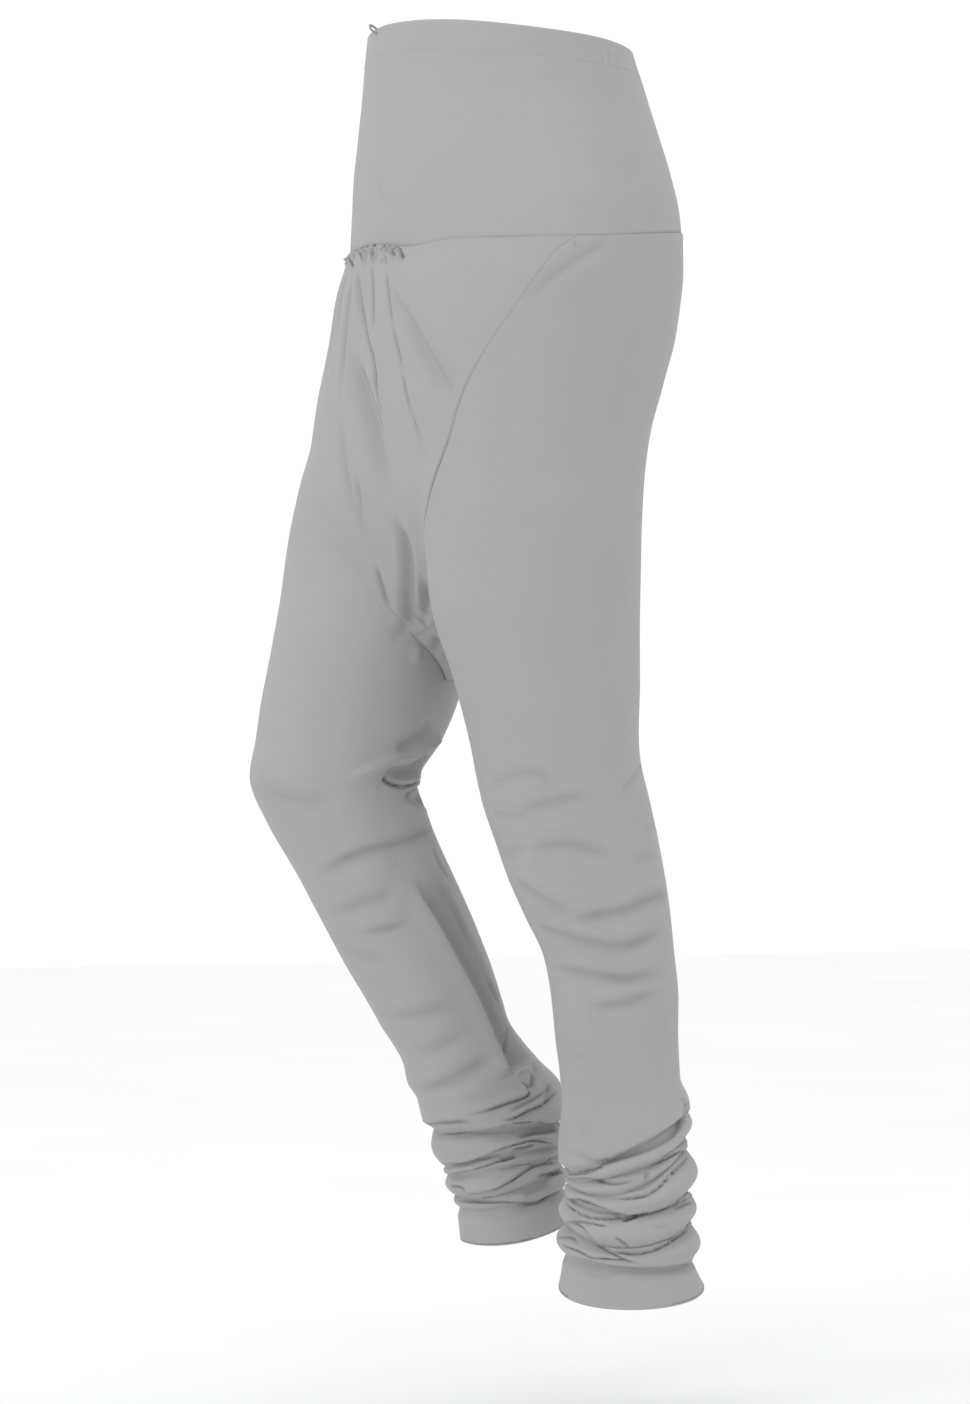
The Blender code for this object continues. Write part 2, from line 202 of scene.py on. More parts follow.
def in_view(points):
    """Where points in mm fall in the photograph, in its pixels."""
    rel = points - np.array(AIM)
    depth = STAND_OFF - rel @ np.array(BACK)
    scale = LENS / SENSOR * HIGH / depth
    return np.stack([WIDE / 2 + rel @ np.array(ACROSS) * scale,
                     HIGH / 2 - rel[..., 2] * scale], axis=-1)


# Tables read as curves
class Table:
    """Rows of a table read as smooth curves against their first column."""

    def __init__(self, rows):
        data = np.array(sorted(rows), dtype=float)
        self.x = data[:, 0]
        self.y = data[:, 1:]
        step = np.diff(self.x)[:, None]
        rise = np.diff(self.y, axis=0) / step
        slope = np.zeros_like(self.y)
        slope[0], slope[-1] = rise[0], rise[-1]
        a, b = rise[:-1], rise[1:]
        same = a * b > 0
        slope[1:-1] = np.where(same, 2 * a * b / np.where(same, a + b, 1), 0)
        self.slope = slope

    def __call__(self, x):
        x = np.clip(np.asarray(x, dtype=float), self.x[0], self.x[-1])
        i = np.clip(np.searchsorted(self.x, x, side="right") - 1, 0, len(self.x) - 2)
        width = (self.x[i + 1] - self.x[i])[..., None]
        t = (x[..., None] - self.x[i][..., None]) / width
        value = (
            (1 + 2 * t) * (1 - t) ** 2 * self.y[i]
            + t * (1 - t) ** 2 * width * self.slope[i]
            + t * t * (3 - 2 * t) * self.y[i + 1]
            + t * t * (t - 1) * width * self.slope[i + 1]
        )
        return np.moveaxis(value, -1, 0)


def smoothstep(x, low, high):
    t = np.clip((np.asarray(x, dtype=float) - low) / (high - low), 0, 1)
    return t * t * (3 - 2 * t)


def level(rule, angle):
    side, tilt, sag = rule
    s = np.sin(angle)
    return side + tilt * s + sag * s * s


def seam_level(angle):
    """Height of the belt's seam, with its dip beside the gathers on the left."""
    at, deep, wide = SEAM_DIP
    degrees = np.degrees(np.arcsin(np.clip(np.sin(angle), -1, 1)))
    dip = np.exp(-((degrees - at) / wide) ** 2) * smoothstep(np.cos(angle), -0.05, 0.12)
    return level(SEAM_LEVEL, angle) - deep * dip


class Leg:
    """One leg: side is +1 for the left and -1 for the right."""

    def __init__(self, side, sections, inseam, rolls, most, hem, top, facing, turn, column):
        self.side = side
        self.sections = Table(sections)
        self.inseam = Table(inseam)
        self.rolls = rolls
        self.most = most
        self.hem = hem
        self.top = top
        self.facing = math.radians(facing)
        self.turn = turn
        self.column = column

    def point(self, z, angle, out=0.0):
        z, angle, out = np.broadcast_arrays(z, angle, out)
        x, y, a, b = self.sections(z)
        c, s = np.cos(angle), np.sin(angle)
        nx, ny = c / a, s / b
        length = np.hypot(nx, ny)
        return np.stack([self.side * (x + a * c + out * nx / length),
                         y + b * s + out * ny / length, z], axis=-1)

    def tangent(self, z, angle, turn):
        a, b = self.sections(np.array([z]))[2:, 0]
        t = np.array([-self.side * a * math.sin(angle), b * math.cos(angle), 0.0])
        return t / np.linalg.norm(t) * turn

    def round_level(self, four, angle):
        front, face, back, hidden = four
        psi = (angle - self.facing) * self.turn
        return ((front + face + back + hidden) / 4 + (face - hidden) / 2 * np.cos(psi)
                + (back - front) / 2 * np.sin(psi)
                + (face + hidden - front - back) / 4 * np.cos(2 * psi))


LEFT = Leg(1, LEFT_LEG, LEFT_INSEAM, LEFT_ROLLS, LEFT_ROLL_MOST, LEFT_HEM, LEFT_TOP, -20.0, 1.0, 0)
RIGHT = Leg(-1, RIGHT_LEG, RIGHT_INSEAM, RIGHT_ROLLS, RIGHT_ROLL_MOST, RIGHT_HEM, RIGHT_TOP,
            -160.0, -1.0, 3)
STATION_CURVE = Table([(i, *row) for i, row in enumerate(STATIONS)])
FIRST_Z = STATIONS[0][0]
LAST = len(STATIONS) - 1


def top_level(angle, z, side):
    """Level of a row near the belt: it follows the seam, then evens out."""
    round_belt = angle if side > 0 else math.pi - angle
    share = np.clip(1 - (FIRST_Z - z) / EVEN_OUT, 0, 1)
    share = share * share * (3 - 2 * share)
    return z + (seam_level(round_belt) - FIRST_Z) * share


# Grids of cloth
class Cloth:
    """Grid of points of one piece of cloth, with what its folds do to it and the shade painted into its
    colour.
    """

    def __init__(self, name, points, closed_from=None, flip=False):
        self.name = name
        self.points = points
        self.closed_from = closed_from
        self.flip = flip
        self.push = np.zeros(points.shape[:2])
        # painted shade: how far the cloth's colour is darkened down in its folds and seams
        self.painted_shade = np.zeros(points.shape[:2])
        self.normals = self.find_normals(points)

    def find_normals(self, p):
        down = np.gradient(p, axis=0)
        along = np.gradient(p, axis=1)
        if self.closed_from is not None:
            k = self.closed_from
            wrap = (p[k:, 1] - p[k:, -2]) / 2
            along[k:, 0] = wrap
            along[k:, -1] = wrap
        n = np.cross(down, along)
        n /= np.maximum(np.linalg.norm(n, axis=-1, keepdims=True), 1e-9)
        if self.flip:
            n = -n
        if self.closed_from is not None:
            k = self.closed_from
            both = n[k:, 0] + n[k:, -1]
            both /= np.maximum(np.linalg.norm(both, axis=-1, keepdims=True), 1e-9)
            n[k:, 0] = both
            n[k:, -1] = both
        return n

    def final(self):
        return self.points + self.normals * self.push[..., None]


def seam_spread(width, count):
    """Shares along a row, with columns crowded by the seams at both ends."""
    near = np.array(SEAM_COLUMNS)
    inner = count + 1 - 2 * len(near)
    middle = np.linspace(near[-1], width - near[-1], inner + 2)[1:-1]
    return np.concatenate([near, middle, width - near[::-1]]) / width


def row_stations(fine, fine_step, count):
    """Stations down the left front seam: fine steps under the belt, then even ones."""
    s = np.linspace(0, LAST, 800)
    z, front = STATION_CURVE(s)[:2]
    p = LEFT.point(z, np.radians(front))
    length = np.concatenate([[0], np.cumsum(np.linalg.norm(np.diff(p, axis=0), axis=1))])
    near = np.linspace(0, fine * fine_step, fine, endpoint=False)
    want = np.concatenate([near, np.linspace(fine * fine_step, length[-1], count + 1)])
    return np.interp(want, length, s)


STATION_ROWS = row_stations(46, 0.55, 108)
UPPER_ROWS = len(STATION_ROWS) - 1
LEG_COLUMNS = 210


def roll_shape(t):
    """Rise of a roll from the crease above it to the crease below: fuller low down."""
    return np.sin(math.pi * np.clip(t, 0, 1) ** 1.2) ** 0.85


def build_leg(leg, name, mid_rows, step):
    """Grid of a leg: open above the crotch, closed below, rolls, cuff, turned hem."""
    z_rows, angle_rows, out_rows = [], [], []
    for s in STATION_ROWS:
        z, front, back = STATION_CURVE(np.array([s]))[leg.column:leg.column + 3, 0]
        start, end = math.radians(front), math.radians(back)
        rough = leg.point(z, np.linspace(start, end, 60))
        width = np.linalg.norm(np.diff(rough, axis=0), axis=1).sum()
        angle = start + (end - start) * seam_spread(width, LEG_COLUMNS)
        z_rows.append(top_level(angle, z, leg.side))
        angle_rows.append(angle)
        out_rows.append(np.zeros_like(angle))
    closed_from = len(z_rows) - 1

    def closed(line_z, out, mean):
        start = math.radians(leg.inseam(np.array([mean]))[0, 0])
        a, b = leg.sections(np.array([mean]))[2:, 0]
        angle = start + 2 * math.pi * seam_spread(math.pi * (a + b), LEG_COLUMNS)
        z_rows.append(line_z(angle))
        angle_rows.append(angle)
        out_rows.append(out(angle))

    split = STATIONS[-1][leg.column]
    for z in np.linspace(split, leg.top, mid_rows + 1)[1:]:
        closed(lambda a, z=z: np.full_like(a, z), lambda a: np.zeros_like(a), z)
    first, last = leg.rolls[0], leg.rolls[-1]
    gap = leg.top - sum(first) / 4
    count = int(gap / 1.15)
    for t in np.linspace(0, 1, count + 1)[1:]:
        high = lambda a: np.full_like(a, leg.top)
        low = lambda a: leg.round_level(first, a)
        swell = OVERHANG * smoothstep(t, 0.25, 0.9) * (1 - smoothstep(t, 0.92, 1.0) * 1.3)
        closed(lambda a: high(a) + (low(a) - high(a)) * t, lambda a: np.full_like(a, swell),
               leg.top + (sum(first) / 4 - leg.top) * t)
    for upper, lower in zip(leg.rolls, leg.rolls[1:]):
        mean_gap = (sum(upper) - sum(lower)) / 4
        count = max(8, int(mean_gap / step))
        for t in np.linspace(0, 1, count + 1)[1:]:
            def rise(a):
                height = leg.round_level(upper, a) - leg.round_level(lower, a)
                lift = np.clip(ROLL_OUT * height, 0, leg.most)
                return -CREASE_IN + (lift + 0.6) * roll_shape(t)
            mean = (sum(upper) + (sum(lower) - sum(upper)) * t) / 4
            closed(lambda a: leg.round_level(upper, a)
                   + (leg.round_level(lower, a) - leg.round_level(upper, a)) * t, rise, mean)
    count = int((sum(last) - sum(leg.hem)) / 4 / 1.2)
    for t in np.linspace(0, 1, count + 1)[1:-1]:
        swell = -CREASE_IN + (CREASE_IN + 0.8) * smoothstep(t, 0.0, 0.35)
        closed(lambda a: leg.round_level(last, a)
               + (leg.round_level(leg.hem, a) - leg.round_level(last, a)) * t,
               lambda a: np.full_like(a, swell), sum(leg.hem) / 4)
    for up, inward in HEM_TURN:
        closed(lambda a: leg.round_level(leg.hem, a) + up, lambda a: np.full_like(a, 0.8 + inward),
               sum(leg.hem) / 4)
    z, angle, out = np.array(z_rows), np.array(angle_rows), np.array(out_rows)
    cloth = Cloth(name, leg.point(z, angle, out), closed_from, leg.side < 0)
    cloth.z, cloth.angle, cloth.leg = z, angle, leg
    cloth.hem_rows = len(HEM_TURN)
    return cloth


def bridge_row(s, front):
    """Sampled line from the left seam to the right one over front or back."""
    row = STATION_CURVE(np.array([s]))[:, 0]
    turn = -1 if front else 1
    extreme = -90.0 if front else 90.0
    halves = []
    for leg, k in ((LEFT, 0), (RIGHT, 3)):
        z, angle = row[k], row[k + 1] if front else row[k + 2]
        beyond = (angle - extreme) * turn
        last = angle if beyond > 0 else extreme
        a = np.radians(np.linspace(angle, last, max(2, int(abs(last - angle)) + 1)))
        line = leg.point(top_level(a, z, leg.side), a)
        halves.append((line, leg.tangent(z, math.radians(last), turn)))
    (left, t0), (right, t1) = halves
    p0, p1 = left[-1], right[-1]
    chord = p1 - p0
    reach = np.linalg.norm(chord)
    ease = min(1.0, max(0.0, (s - STRAIGHT_FROM) / (LAST - STRAIGHT_FROM)))
    t0 = t0 * (1 - ease) + chord / reach * ease
    t1 = t1 * (1 - ease) - chord / reach * ease
    t = np.linspace(0, 1, 80)[1:-1, None]
    middle = (
        p0 * (1 + 2 * t) * (1 - t) ** 2 + t0 * reach * t * (1 - t) ** 2
        + p1 * t * t * (3 - 2 * t) - t1 * reach * t * t * (t - 1)
    )
    return np.concatenate([left, middle, right[::-1]])


def spread_row(line, count, crowd):
    """Even steps along a line, crowded at the seams and, if asked, in the middle."""
    length = np.concatenate([[0], np.cumsum(np.linalg.norm(np.diff(line, axis=0), axis=1))])
    total = length[-1]
    near = np.array(SEAM_COLUMNS) * min(1.0, total / 40.0)
    inner = count + 1 - 2 * len(near)
    u = np.linspace(-1, 1, inner + 2)[1:-1]
    u = (1 - crowd) * u + crowd * u ** 3
    middle = total / 2 + u * (total / 2 - near[-1])
    want = np.concatenate([near, middle, total - near[::-1]])
    return np.stack([np.interp(want, length, line[:, k]) for k in range(3)], axis=-1)


def even_rows(points, stations, reach):
    """Ease the rows into each other away from the side edges and from the lower end."""
    step = np.linalg.norm(np.diff(points, axis=1), axis=2)
    run = np.concatenate([np.zeros((len(points), 1)), np.cumsum(step, axis=1)], axis=1)
    inside = smoothstep(np.minimum(run, run[:, -1:] - run), 0, 26)
    window = smoothstep(stations, 4.5, 6.5) * (1 - smoothstep(stations, 10.8, GUSSET_START))
    share = (inside * window[:, None])[..., None]
    reach_rows = np.arange(-3 * reach, 3 * reach + 1)
    weights = np.exp(-(reach_rows / reach) ** 2)
    weights /= weights.sum()
    padded = np.concatenate([points[:1]] * (3 * reach) + [points] + [points[-1:]] * (3 * reach))
    eased = sum(w * padded[k:k + len(points)] for k, w in enumerate(weights))
    return points + (eased - points) * share


def build_panel(name, stations, front, count, crowd):
    rows = [spread_row(bridge_row(s, front), count, crowd) for s in stations]
    return Cloth(name, even_rows(np.array(rows), np.array(stations), 12), flip=front)


def build_belt(columns, rows):
    """Grid of the belt: seam, up to the waist edge, over it and down inside."""
    sections = Table(BELT)
    angle = np.linspace(0, 2 * math.pi, columns + 1)
    low, high = seam_level(angle), level(WAIST_LEVEL, angle)
    plan = [(share, 0.0, 0.0) for share in
            np.concatenate([np.array([0, 0.6, 1.3, 2.2, 3.4, 5.0]) / 150.0,
                            np.linspace(0.045, 0.975, rows)])]
    turn = np.linspace(0, math.pi, 9)
    half = CASING_GAP / 2
    plan += [(1.0, -half + half * math.cos(a), half - half * math.sin(a)) for a in turn]
    plan += [(1.0, -CASING_GAP, half + (CASING_DEPTH - half) * t)
             for t in np.linspace(0, 1, 15)[1:]]
    plan += [(1.0, -CASING_GAP * 0.6, CASING_DEPTH + 0.6), (1.0, -CASING_GAP * 0.3, CASING_DEPTH)]
    grid = []
    for share, out, drop in plan:
        z = low + (high - low) * share - drop
        y, a, b = sections(z)
        c, s = np.cos(angle), np.sin(angle)
        nx, ny = c / a, s / b
        length = np.hypot(nx, ny)
        grid.append(np.stack([a * c + out * nx / length, y + b * s + out * ny / length, z], -1))
    points = np.array(grid)
    cloth = Cloth("belt_cloth", points, 0, flip=True)
    cloth.angle = np.broadcast_to(angle, points.shape[:2])
    cloth.share = np.array([p[0] for p in plan])
    cloth.hem_rows = int(np.sum(cloth.share >= 1.0))
    return cloth


# Folds that the photograph shows. Each has its piece, kind, depth and half-width in mm, and
# the shares of its length over which it fades in and out, then its route in pixels.
ANKLE_FOLDS_NEAR = [
    ("left_leg", "shelf", 2.6, 4.0, 0.35, 0.2,
     [(556, 1142), (578, 1155), (599, 1163), (622, 1159), (645, 1152), (670, 1140), (679, 1127),
      (681, 1111), (677, 1085)]),
    ("left_leg", "trough", 1.3, 1.3, 0.3, 0.3, [(563, 1173), (580, 1174), (595, 1172)]),
    ("left_leg", "lap", 2.2, 2.6, 0.2, 0.35, [(569, 1178), (595, 1179), (616, 1183), (643, 1178)]),
    ("left_leg", "lap", 2.7, 2.0, 0.3, 0.05, [(641, 1171), (652, 1164), (665, 1158), (690, 1146)]),
    ("left_leg", "trough", 2.0, 2.4, 0.4, 0.4, [(644, 1168), (647, 1176), (645, 1184)]),
    ("left_leg", "lap", 3.1, 1.9, 0.3, 0.05,
     [(604, 1198), (624, 1198), (634, 1197), (646, 1195), (659, 1186), (677, 1167), (691, 1153)]),
    ("left_leg", "lap", 3.4, 1.9, 0.1, 0.02,
     [(563, 1197), (586, 1201), (599, 1207), (622, 1213), (634, 1214), (652, 1211), (674, 1204),
      (692, 1196)]),
    ("left_leg", "lap", 2.9, 1.7, 0.1, 0.3,
     [(564, 1200), (575, 1210), (590, 1217), (604, 1218), (625, 1216), (642, 1211)]),
    ("left_leg", "trough", 1.5, 1.1, 0.3, 0.3, [(578, 1202), (591, 1207)]),
    ("left_leg", "trough", 3.1, 1.4, 0.3, 0.4, [(620, 1221), (631, 1217), (646, 1211)]),
    ("left_leg", "trough", 1.8, 1.2, 0.3, 0.1, [(673, 1209), (692, 1201)]),
    ("left_leg", "lap", 2.2, 1.6, 0.1, 0.35, [(566, 1222), (586, 1222), (602, 1225), (616, 1228)]),
    ("left_leg", "trough", 1.1, 2.6, 0.4, 0.4, [(650, 1227), (661, 1227), (672, 1225)]),
    ("left_leg", "lap", 2.7, 1.6, 0.1, 0.25,
     [(568, 1222), (581, 1226), (590, 1235), (600, 1245), (611, 1252), (627, 1260), (640, 1264)]),
    ("left_leg", "lap", 3.4, 1.9, 0.15, 0.02,
     [(609, 1252), (625, 1253), (643, 1252), (659, 1247), (674, 1238), (694, 1223)]),
    ("left_leg", "trough", 2.2, 1.2, 0.3, 0.3, [(614, 1237), (624, 1244), (630, 1249)]),
    ("left_leg", "trough", 1.8, 1.3, 0.1, 0.3, [(556, 1238), (571, 1237), (579, 1244)]),
    ("left_leg", "lap", 2.5, 1.6, 0.1, 0.25,
     [(560, 1244), (581, 1252), (591, 1257), (620, 1260), (640, 1263)]),
    ("left_leg", "lap", 3.1, 2.0, 0.15, 0.02,
     [(569, 1255), (590, 1261), (616, 1266), (638, 1267), (659, 1266), (692, 1262)]),
    ("left_leg", "trough", 0.9, 3.0, 0.4, 0.4, [(578, 1271), (599, 1276), (617, 1279)]),
    ("left_leg", "trough", 1.1, 5.0, 0.4, 0.4, [(572, 1124), (585, 1131), (596, 1141)]),
    ("left_leg", "ridge", 0.9, 3.0, 0.3, 0.5, [(556, 1141), (570, 1144), (585, 1146)]),
    ("left_leg", "ridge", 0.8, 4.0, 0.4, 0.4, [(572, 1101), (585, 1103), (600, 1102)]),
]
ANKLE_FOLDS_FAR = [
    ("right_leg", "trough", 1.9, 1.4, 0.2, 0.2, [(507, 1022), (507, 1042), (506, 1058)]),
    ("right_leg", "ridge", 1.8, 1.9, 0.3, 0.3, [(513, 1077), (520, 1071), (530, 1069)]),
    ("right_leg", "trough", 2.8, 2.4, 0.3, 0.3, [(531, 1071), (534, 1080), (531, 1090)]),
    ("right_leg", "trough", 3.3, 5.0, 0.2, 0.3,
     [(414, 1087), (430, 1088), (455, 1079), (482, 1064), (500, 1052)]),
    ("right_leg", "ridge", 1.2, 4.5, 0.4, 0.3, [(440, 1099), (470, 1094), (503, 1083)]),
    ("right_leg", "lap", 3.5, 2.1, 0.15, 0.5,
     [(519, 1081), (528, 1087), (530, 1094), (521, 1099), (510, 1102), (491, 1109), (476, 1113),
      (461, 1117)]),
    ("right_leg", "trough", 2.1, 1.8, 0.02, 0.4, [(427, 1125), (449, 1123), (462, 1122), (477, 1124)]),
    ("right_leg", "lap", 3.1, 1.8, 0.3, 0.1,
     [(499, 1121), (514, 1118), (527, 1111), (545, 1103), (557, 1090)]),
    ("right_leg", "trough", 1.7, 1.3, 0.3, 0.2, [(505, 1113), (522, 1106), (540, 1096), (548, 1086)]),
    ("right_leg", "lap", 2.8, 1.7, 0.05, 0.05,
     [(431, 1134), (448, 1133), (465, 1132), (491, 1128), (514, 1124), (535, 1122), (557, 1123)]),
    ("right_leg", "trough", 3.8, 3.0, 0.3, 0.05, [(515, 1140), (530, 1133), (556, 1128)]),
    ("right_leg", "trough", 4.2, 1.7, 0.3, 0.3, [(512, 1151), (524, 1149), (537, 1145)]),
    ("right_leg", "lap", 3.3, 1.9, 0.2, 0.05,
     [(440, 1164), (455, 1163), (470, 1161), (491, 1153), (504, 1148), (517, 1144), (535, 1140),
      (556, 1145)]),
    ("right_leg", "lap", 2.8, 1.7, 0.05, 0.2,
     [(450, 1174), (473, 1170), (491, 1164), (501, 1159), (518, 1155)]),
    ("right_leg", "trough", 3.5, 1.6, 0.4, 0.2, [(496, 1161), (507, 1158), (518, 1155)]),
    ("right_leg", "lap", 3.5, 2.0, 0.15, 0.05,
     [(464, 1194), (485, 1192), (501, 1187), (517, 1177), (527, 1169), (540, 1163), (556, 1162)]),
    ("right_leg", "trough", 2.1, 1.3, 0.2, 0.3, [(449, 1186), (461, 1188), (467, 1194)]),
    ("right_leg", "trough", 3.5, 1.8, 0.4, 0.05, [(534, 1178), (546, 1175), (561, 1171)]),
    ("right_leg", "lap", 2.6, 3.0, 0.2, 0.05,
     [(452, 1200), (473, 1200), (504, 1202), (524, 1203), (538, 1201), (564, 1186)]),
    ("right_leg", "valley", 3.2, 3.2, 0.3, 0.2, [(550, 1083), (548, 1094), (544, 1104)]),
    ("right_leg", "valley", 2.6, 4.0, 0.3, 0.4, [(534, 1060), (537, 1074), (537, 1088)]),
    ("right_leg", "valley", 3.0, 4.4, 0.3, 0.2, [(520, 1196), (535, 1190), (552, 1182)]),
]
CALF_FOLDS = [
    # this corner fold also paints a shadow on the strip of the far leg behind it
    ("right_leg", "corner", 3.6, 4.2, 0.2, 0.04,
     [(409, 872), (420, 897), (430, 914), (450, 950), (470, 987), (490, 1030), (511, 1076)]),
    ("right_leg", "valley", 2.2, 3.0, 0.3, 0.3, [(449, 900), (462, 928), (474, 954)]),
    ("right_leg", "valley", 2.0, 2.6, 0.3, 0.3, [(484, 976), (493, 992), (499, 1006)]),
    ("right_leg", "trough", 1.4, 2.0, 0.3, 0.3, [(430, 842), (442, 868), (452, 884)]),
    ("right_leg", "valley", 5.2, 5.2, 0.35, 0.1, [(382, 771), (398, 772), (414, 768), (427, 758)]),
    ("right_leg", "valley", 3.4, 6.5, 0.3, 0.2, [(392, 752), (408, 744), (422, 734), (434, 722)]),
    ("right_leg", "ridge", 5.6, 3.0, 0.3, 0.05,
     [(343, 782), (367, 770), (383, 762), (397, 757), (410, 755), (427, 745), (440, 737)]),
    ("right_leg", "lap", 4.7, 3.0, 0.1, 0.1,
     [(384, 775), (388, 781), (397, 785), (409, 785), (418, 780)]),
    ("right_leg", "valley", 4.4, 4.6, 0.2, 0.15, [(407, 792), (414, 799), (424, 797)]),
    ("right_leg", "ridge", 2.2, 1.9, 0.3, 0.3, [(382, 783), (391, 789), (402, 791)]),
    ("right_leg", "trough", 3.0, 7.0, 0.3, 0.4, [(256, 788), (280, 797), (310, 801), (350, 798)]),
    ("right_leg", "sag", 3.2, 4.6, 0.05, 0.35,
     [(430, 829), (415, 835), (400, 841), (370, 849), (340, 861), (311, 881)]),
    ("right_leg", "ridge", 1.8, 7.0, 0.3, 0.4, [(400, 860), (370, 868), (345, 880)]),
    ("right_leg", "trough", 3.0, 5.5, 0.3, 0.4,
     [(402, 884), (385, 896), (362, 903), (340, 911), (318, 917)]),
    ("right_leg", "trough", 2.2, 3.4, 0.4, 0.4, [(418, 916), (400, 925), (380, 930), (355, 934)]),
    ("right_leg", "trough", 2.4, 6.5, 0.4, 0.4, [(336, 944), (352, 951), (372, 958), (400, 956)]),
    ("right_leg", "trough", 2.4, 5.0, 0.4, 0.4,
     [(372, 1008), (392, 1016), (420, 1014), (450, 1007), (476, 1009)]),
    ("right_leg", "trough", 2.2, 5.5, 0.4, 0.4, [(404, 1040), (430, 1050), (455, 1040), (480, 1022)]),
    ("left_leg", "trough", 2.0, 5.0, 0.2, 0.3,
     [(486, 787), (504, 779), (519, 774), (538, 774), (560, 792)]),
    ("left_leg", "ridge", 1.5, 6.0, 0.4, 0.4, [(512, 796), (530, 788), (548, 797)]),
    ("left_leg", "sag", 2.0, 5.0, 0.35, 0.4,
     [(505, 812), (528, 808), (554, 801), (576, 797), (600, 803)]),
    ("left_leg", "trough", 1.4, 4.0, 0.1, 0.4, [(492, 812), (512, 816), (534, 818)]),
    ("left_leg", "ridge", 2.2, 6.5, 0.4, 0.4, [(510, 836), (548, 826), (592, 824), (630, 832)]),
    ("left_leg", "sag", 2.2, 5.4, 0.3, 0.4,
     [(520, 850), (545, 846), (575, 845), (600, 852), (626, 860)]),
    ("left_leg", "trough", 1.7, 5.0, 0.1, 0.4, [(504, 856), (515, 850), (527, 845)]),
    ("left_leg", "ridge", 1.2, 2.6, 0.3, 0.3, [(538, 845), (534, 858), (527, 874)]),
    ("left_leg", "ridge", 2.2, 5.0, 0.2, 0.3,
     [(510, 872), (530, 878), (551, 887), (580, 903), (606, 906)]),
    ("left_leg", "sag", 2.2, 5.0, 0.1, 0.4, [(514, 878), (534, 893), (556, 906), (580, 914)]),
    ("left_leg", "sag", 2.8, 4.4, 0.35, 0.1,
     [(560, 914), (583, 917), (605, 913), (629, 908), (647, 899), (671, 892)]),
    ("left_leg", "ridge", 2.4, 5.4, 0.15, 0.3,
     [(530, 914), (566, 924), (602, 935), (618, 936), (648, 926)]),
    ("left_leg", "sag", 2.4, 5.0, 0.1, 0.3,
     [(534, 924), (560, 934), (590, 941), (620, 946), (645, 938), (672, 926)]),
    ("left_leg", "trough", 1.4, 3.0, 0.3, 0.3, [(625, 946), (645, 940), (662, 930)]),
    ("left_leg", "ridge", 2.0, 8.0, 0.4, 0.4, [(556, 956), (578, 960), (604, 962)]),
    ("left_leg", "sag", 2.6, 4.4, 0.2, 0.25,
     [(544, 966), (572, 970), (600, 975), (626, 978), (650, 974), (670, 972)]),
    ("left_leg", "trough", 1.2, 2.6, 0.3, 0.3, [(600, 976), (622, 979), (640, 977)]),
    ("left_leg", "ridge", 1.5, 4.6, 0.4, 0.4, [(563, 986), (600, 990), (640, 986)]),
    ("left_leg", "sag", 2.4, 4.6, 0.3, 0.35,
     [(580, 1008), (600, 1006), (618, 1004), (640, 998), (668, 988)]),
    ("left_leg", "trough", 1.2, 5.0, 0.4, 0.4, [(576, 1020), (598, 1021), (620, 1024)]),
    ("left_leg", "trough", 1.4, 6.0, 0.4, 0.4, [(562, 1044), (576, 1056), (592, 1068)]),
    ("left_leg", "trough", 1.3, 3.0, 0.4, 0.05, [(616, 797), (626, 787), (634, 776), (641, 765)]),
    ("left_leg", "trough", 1.5, 5.0, 0.4, 0.2, [(640, 836), (648, 826), (655, 818)]),
    ("left_leg", "trough", 1.4, 5.0, 0.4, 0.2, [(628, 862), (642, 859), (656, 856)]),
]
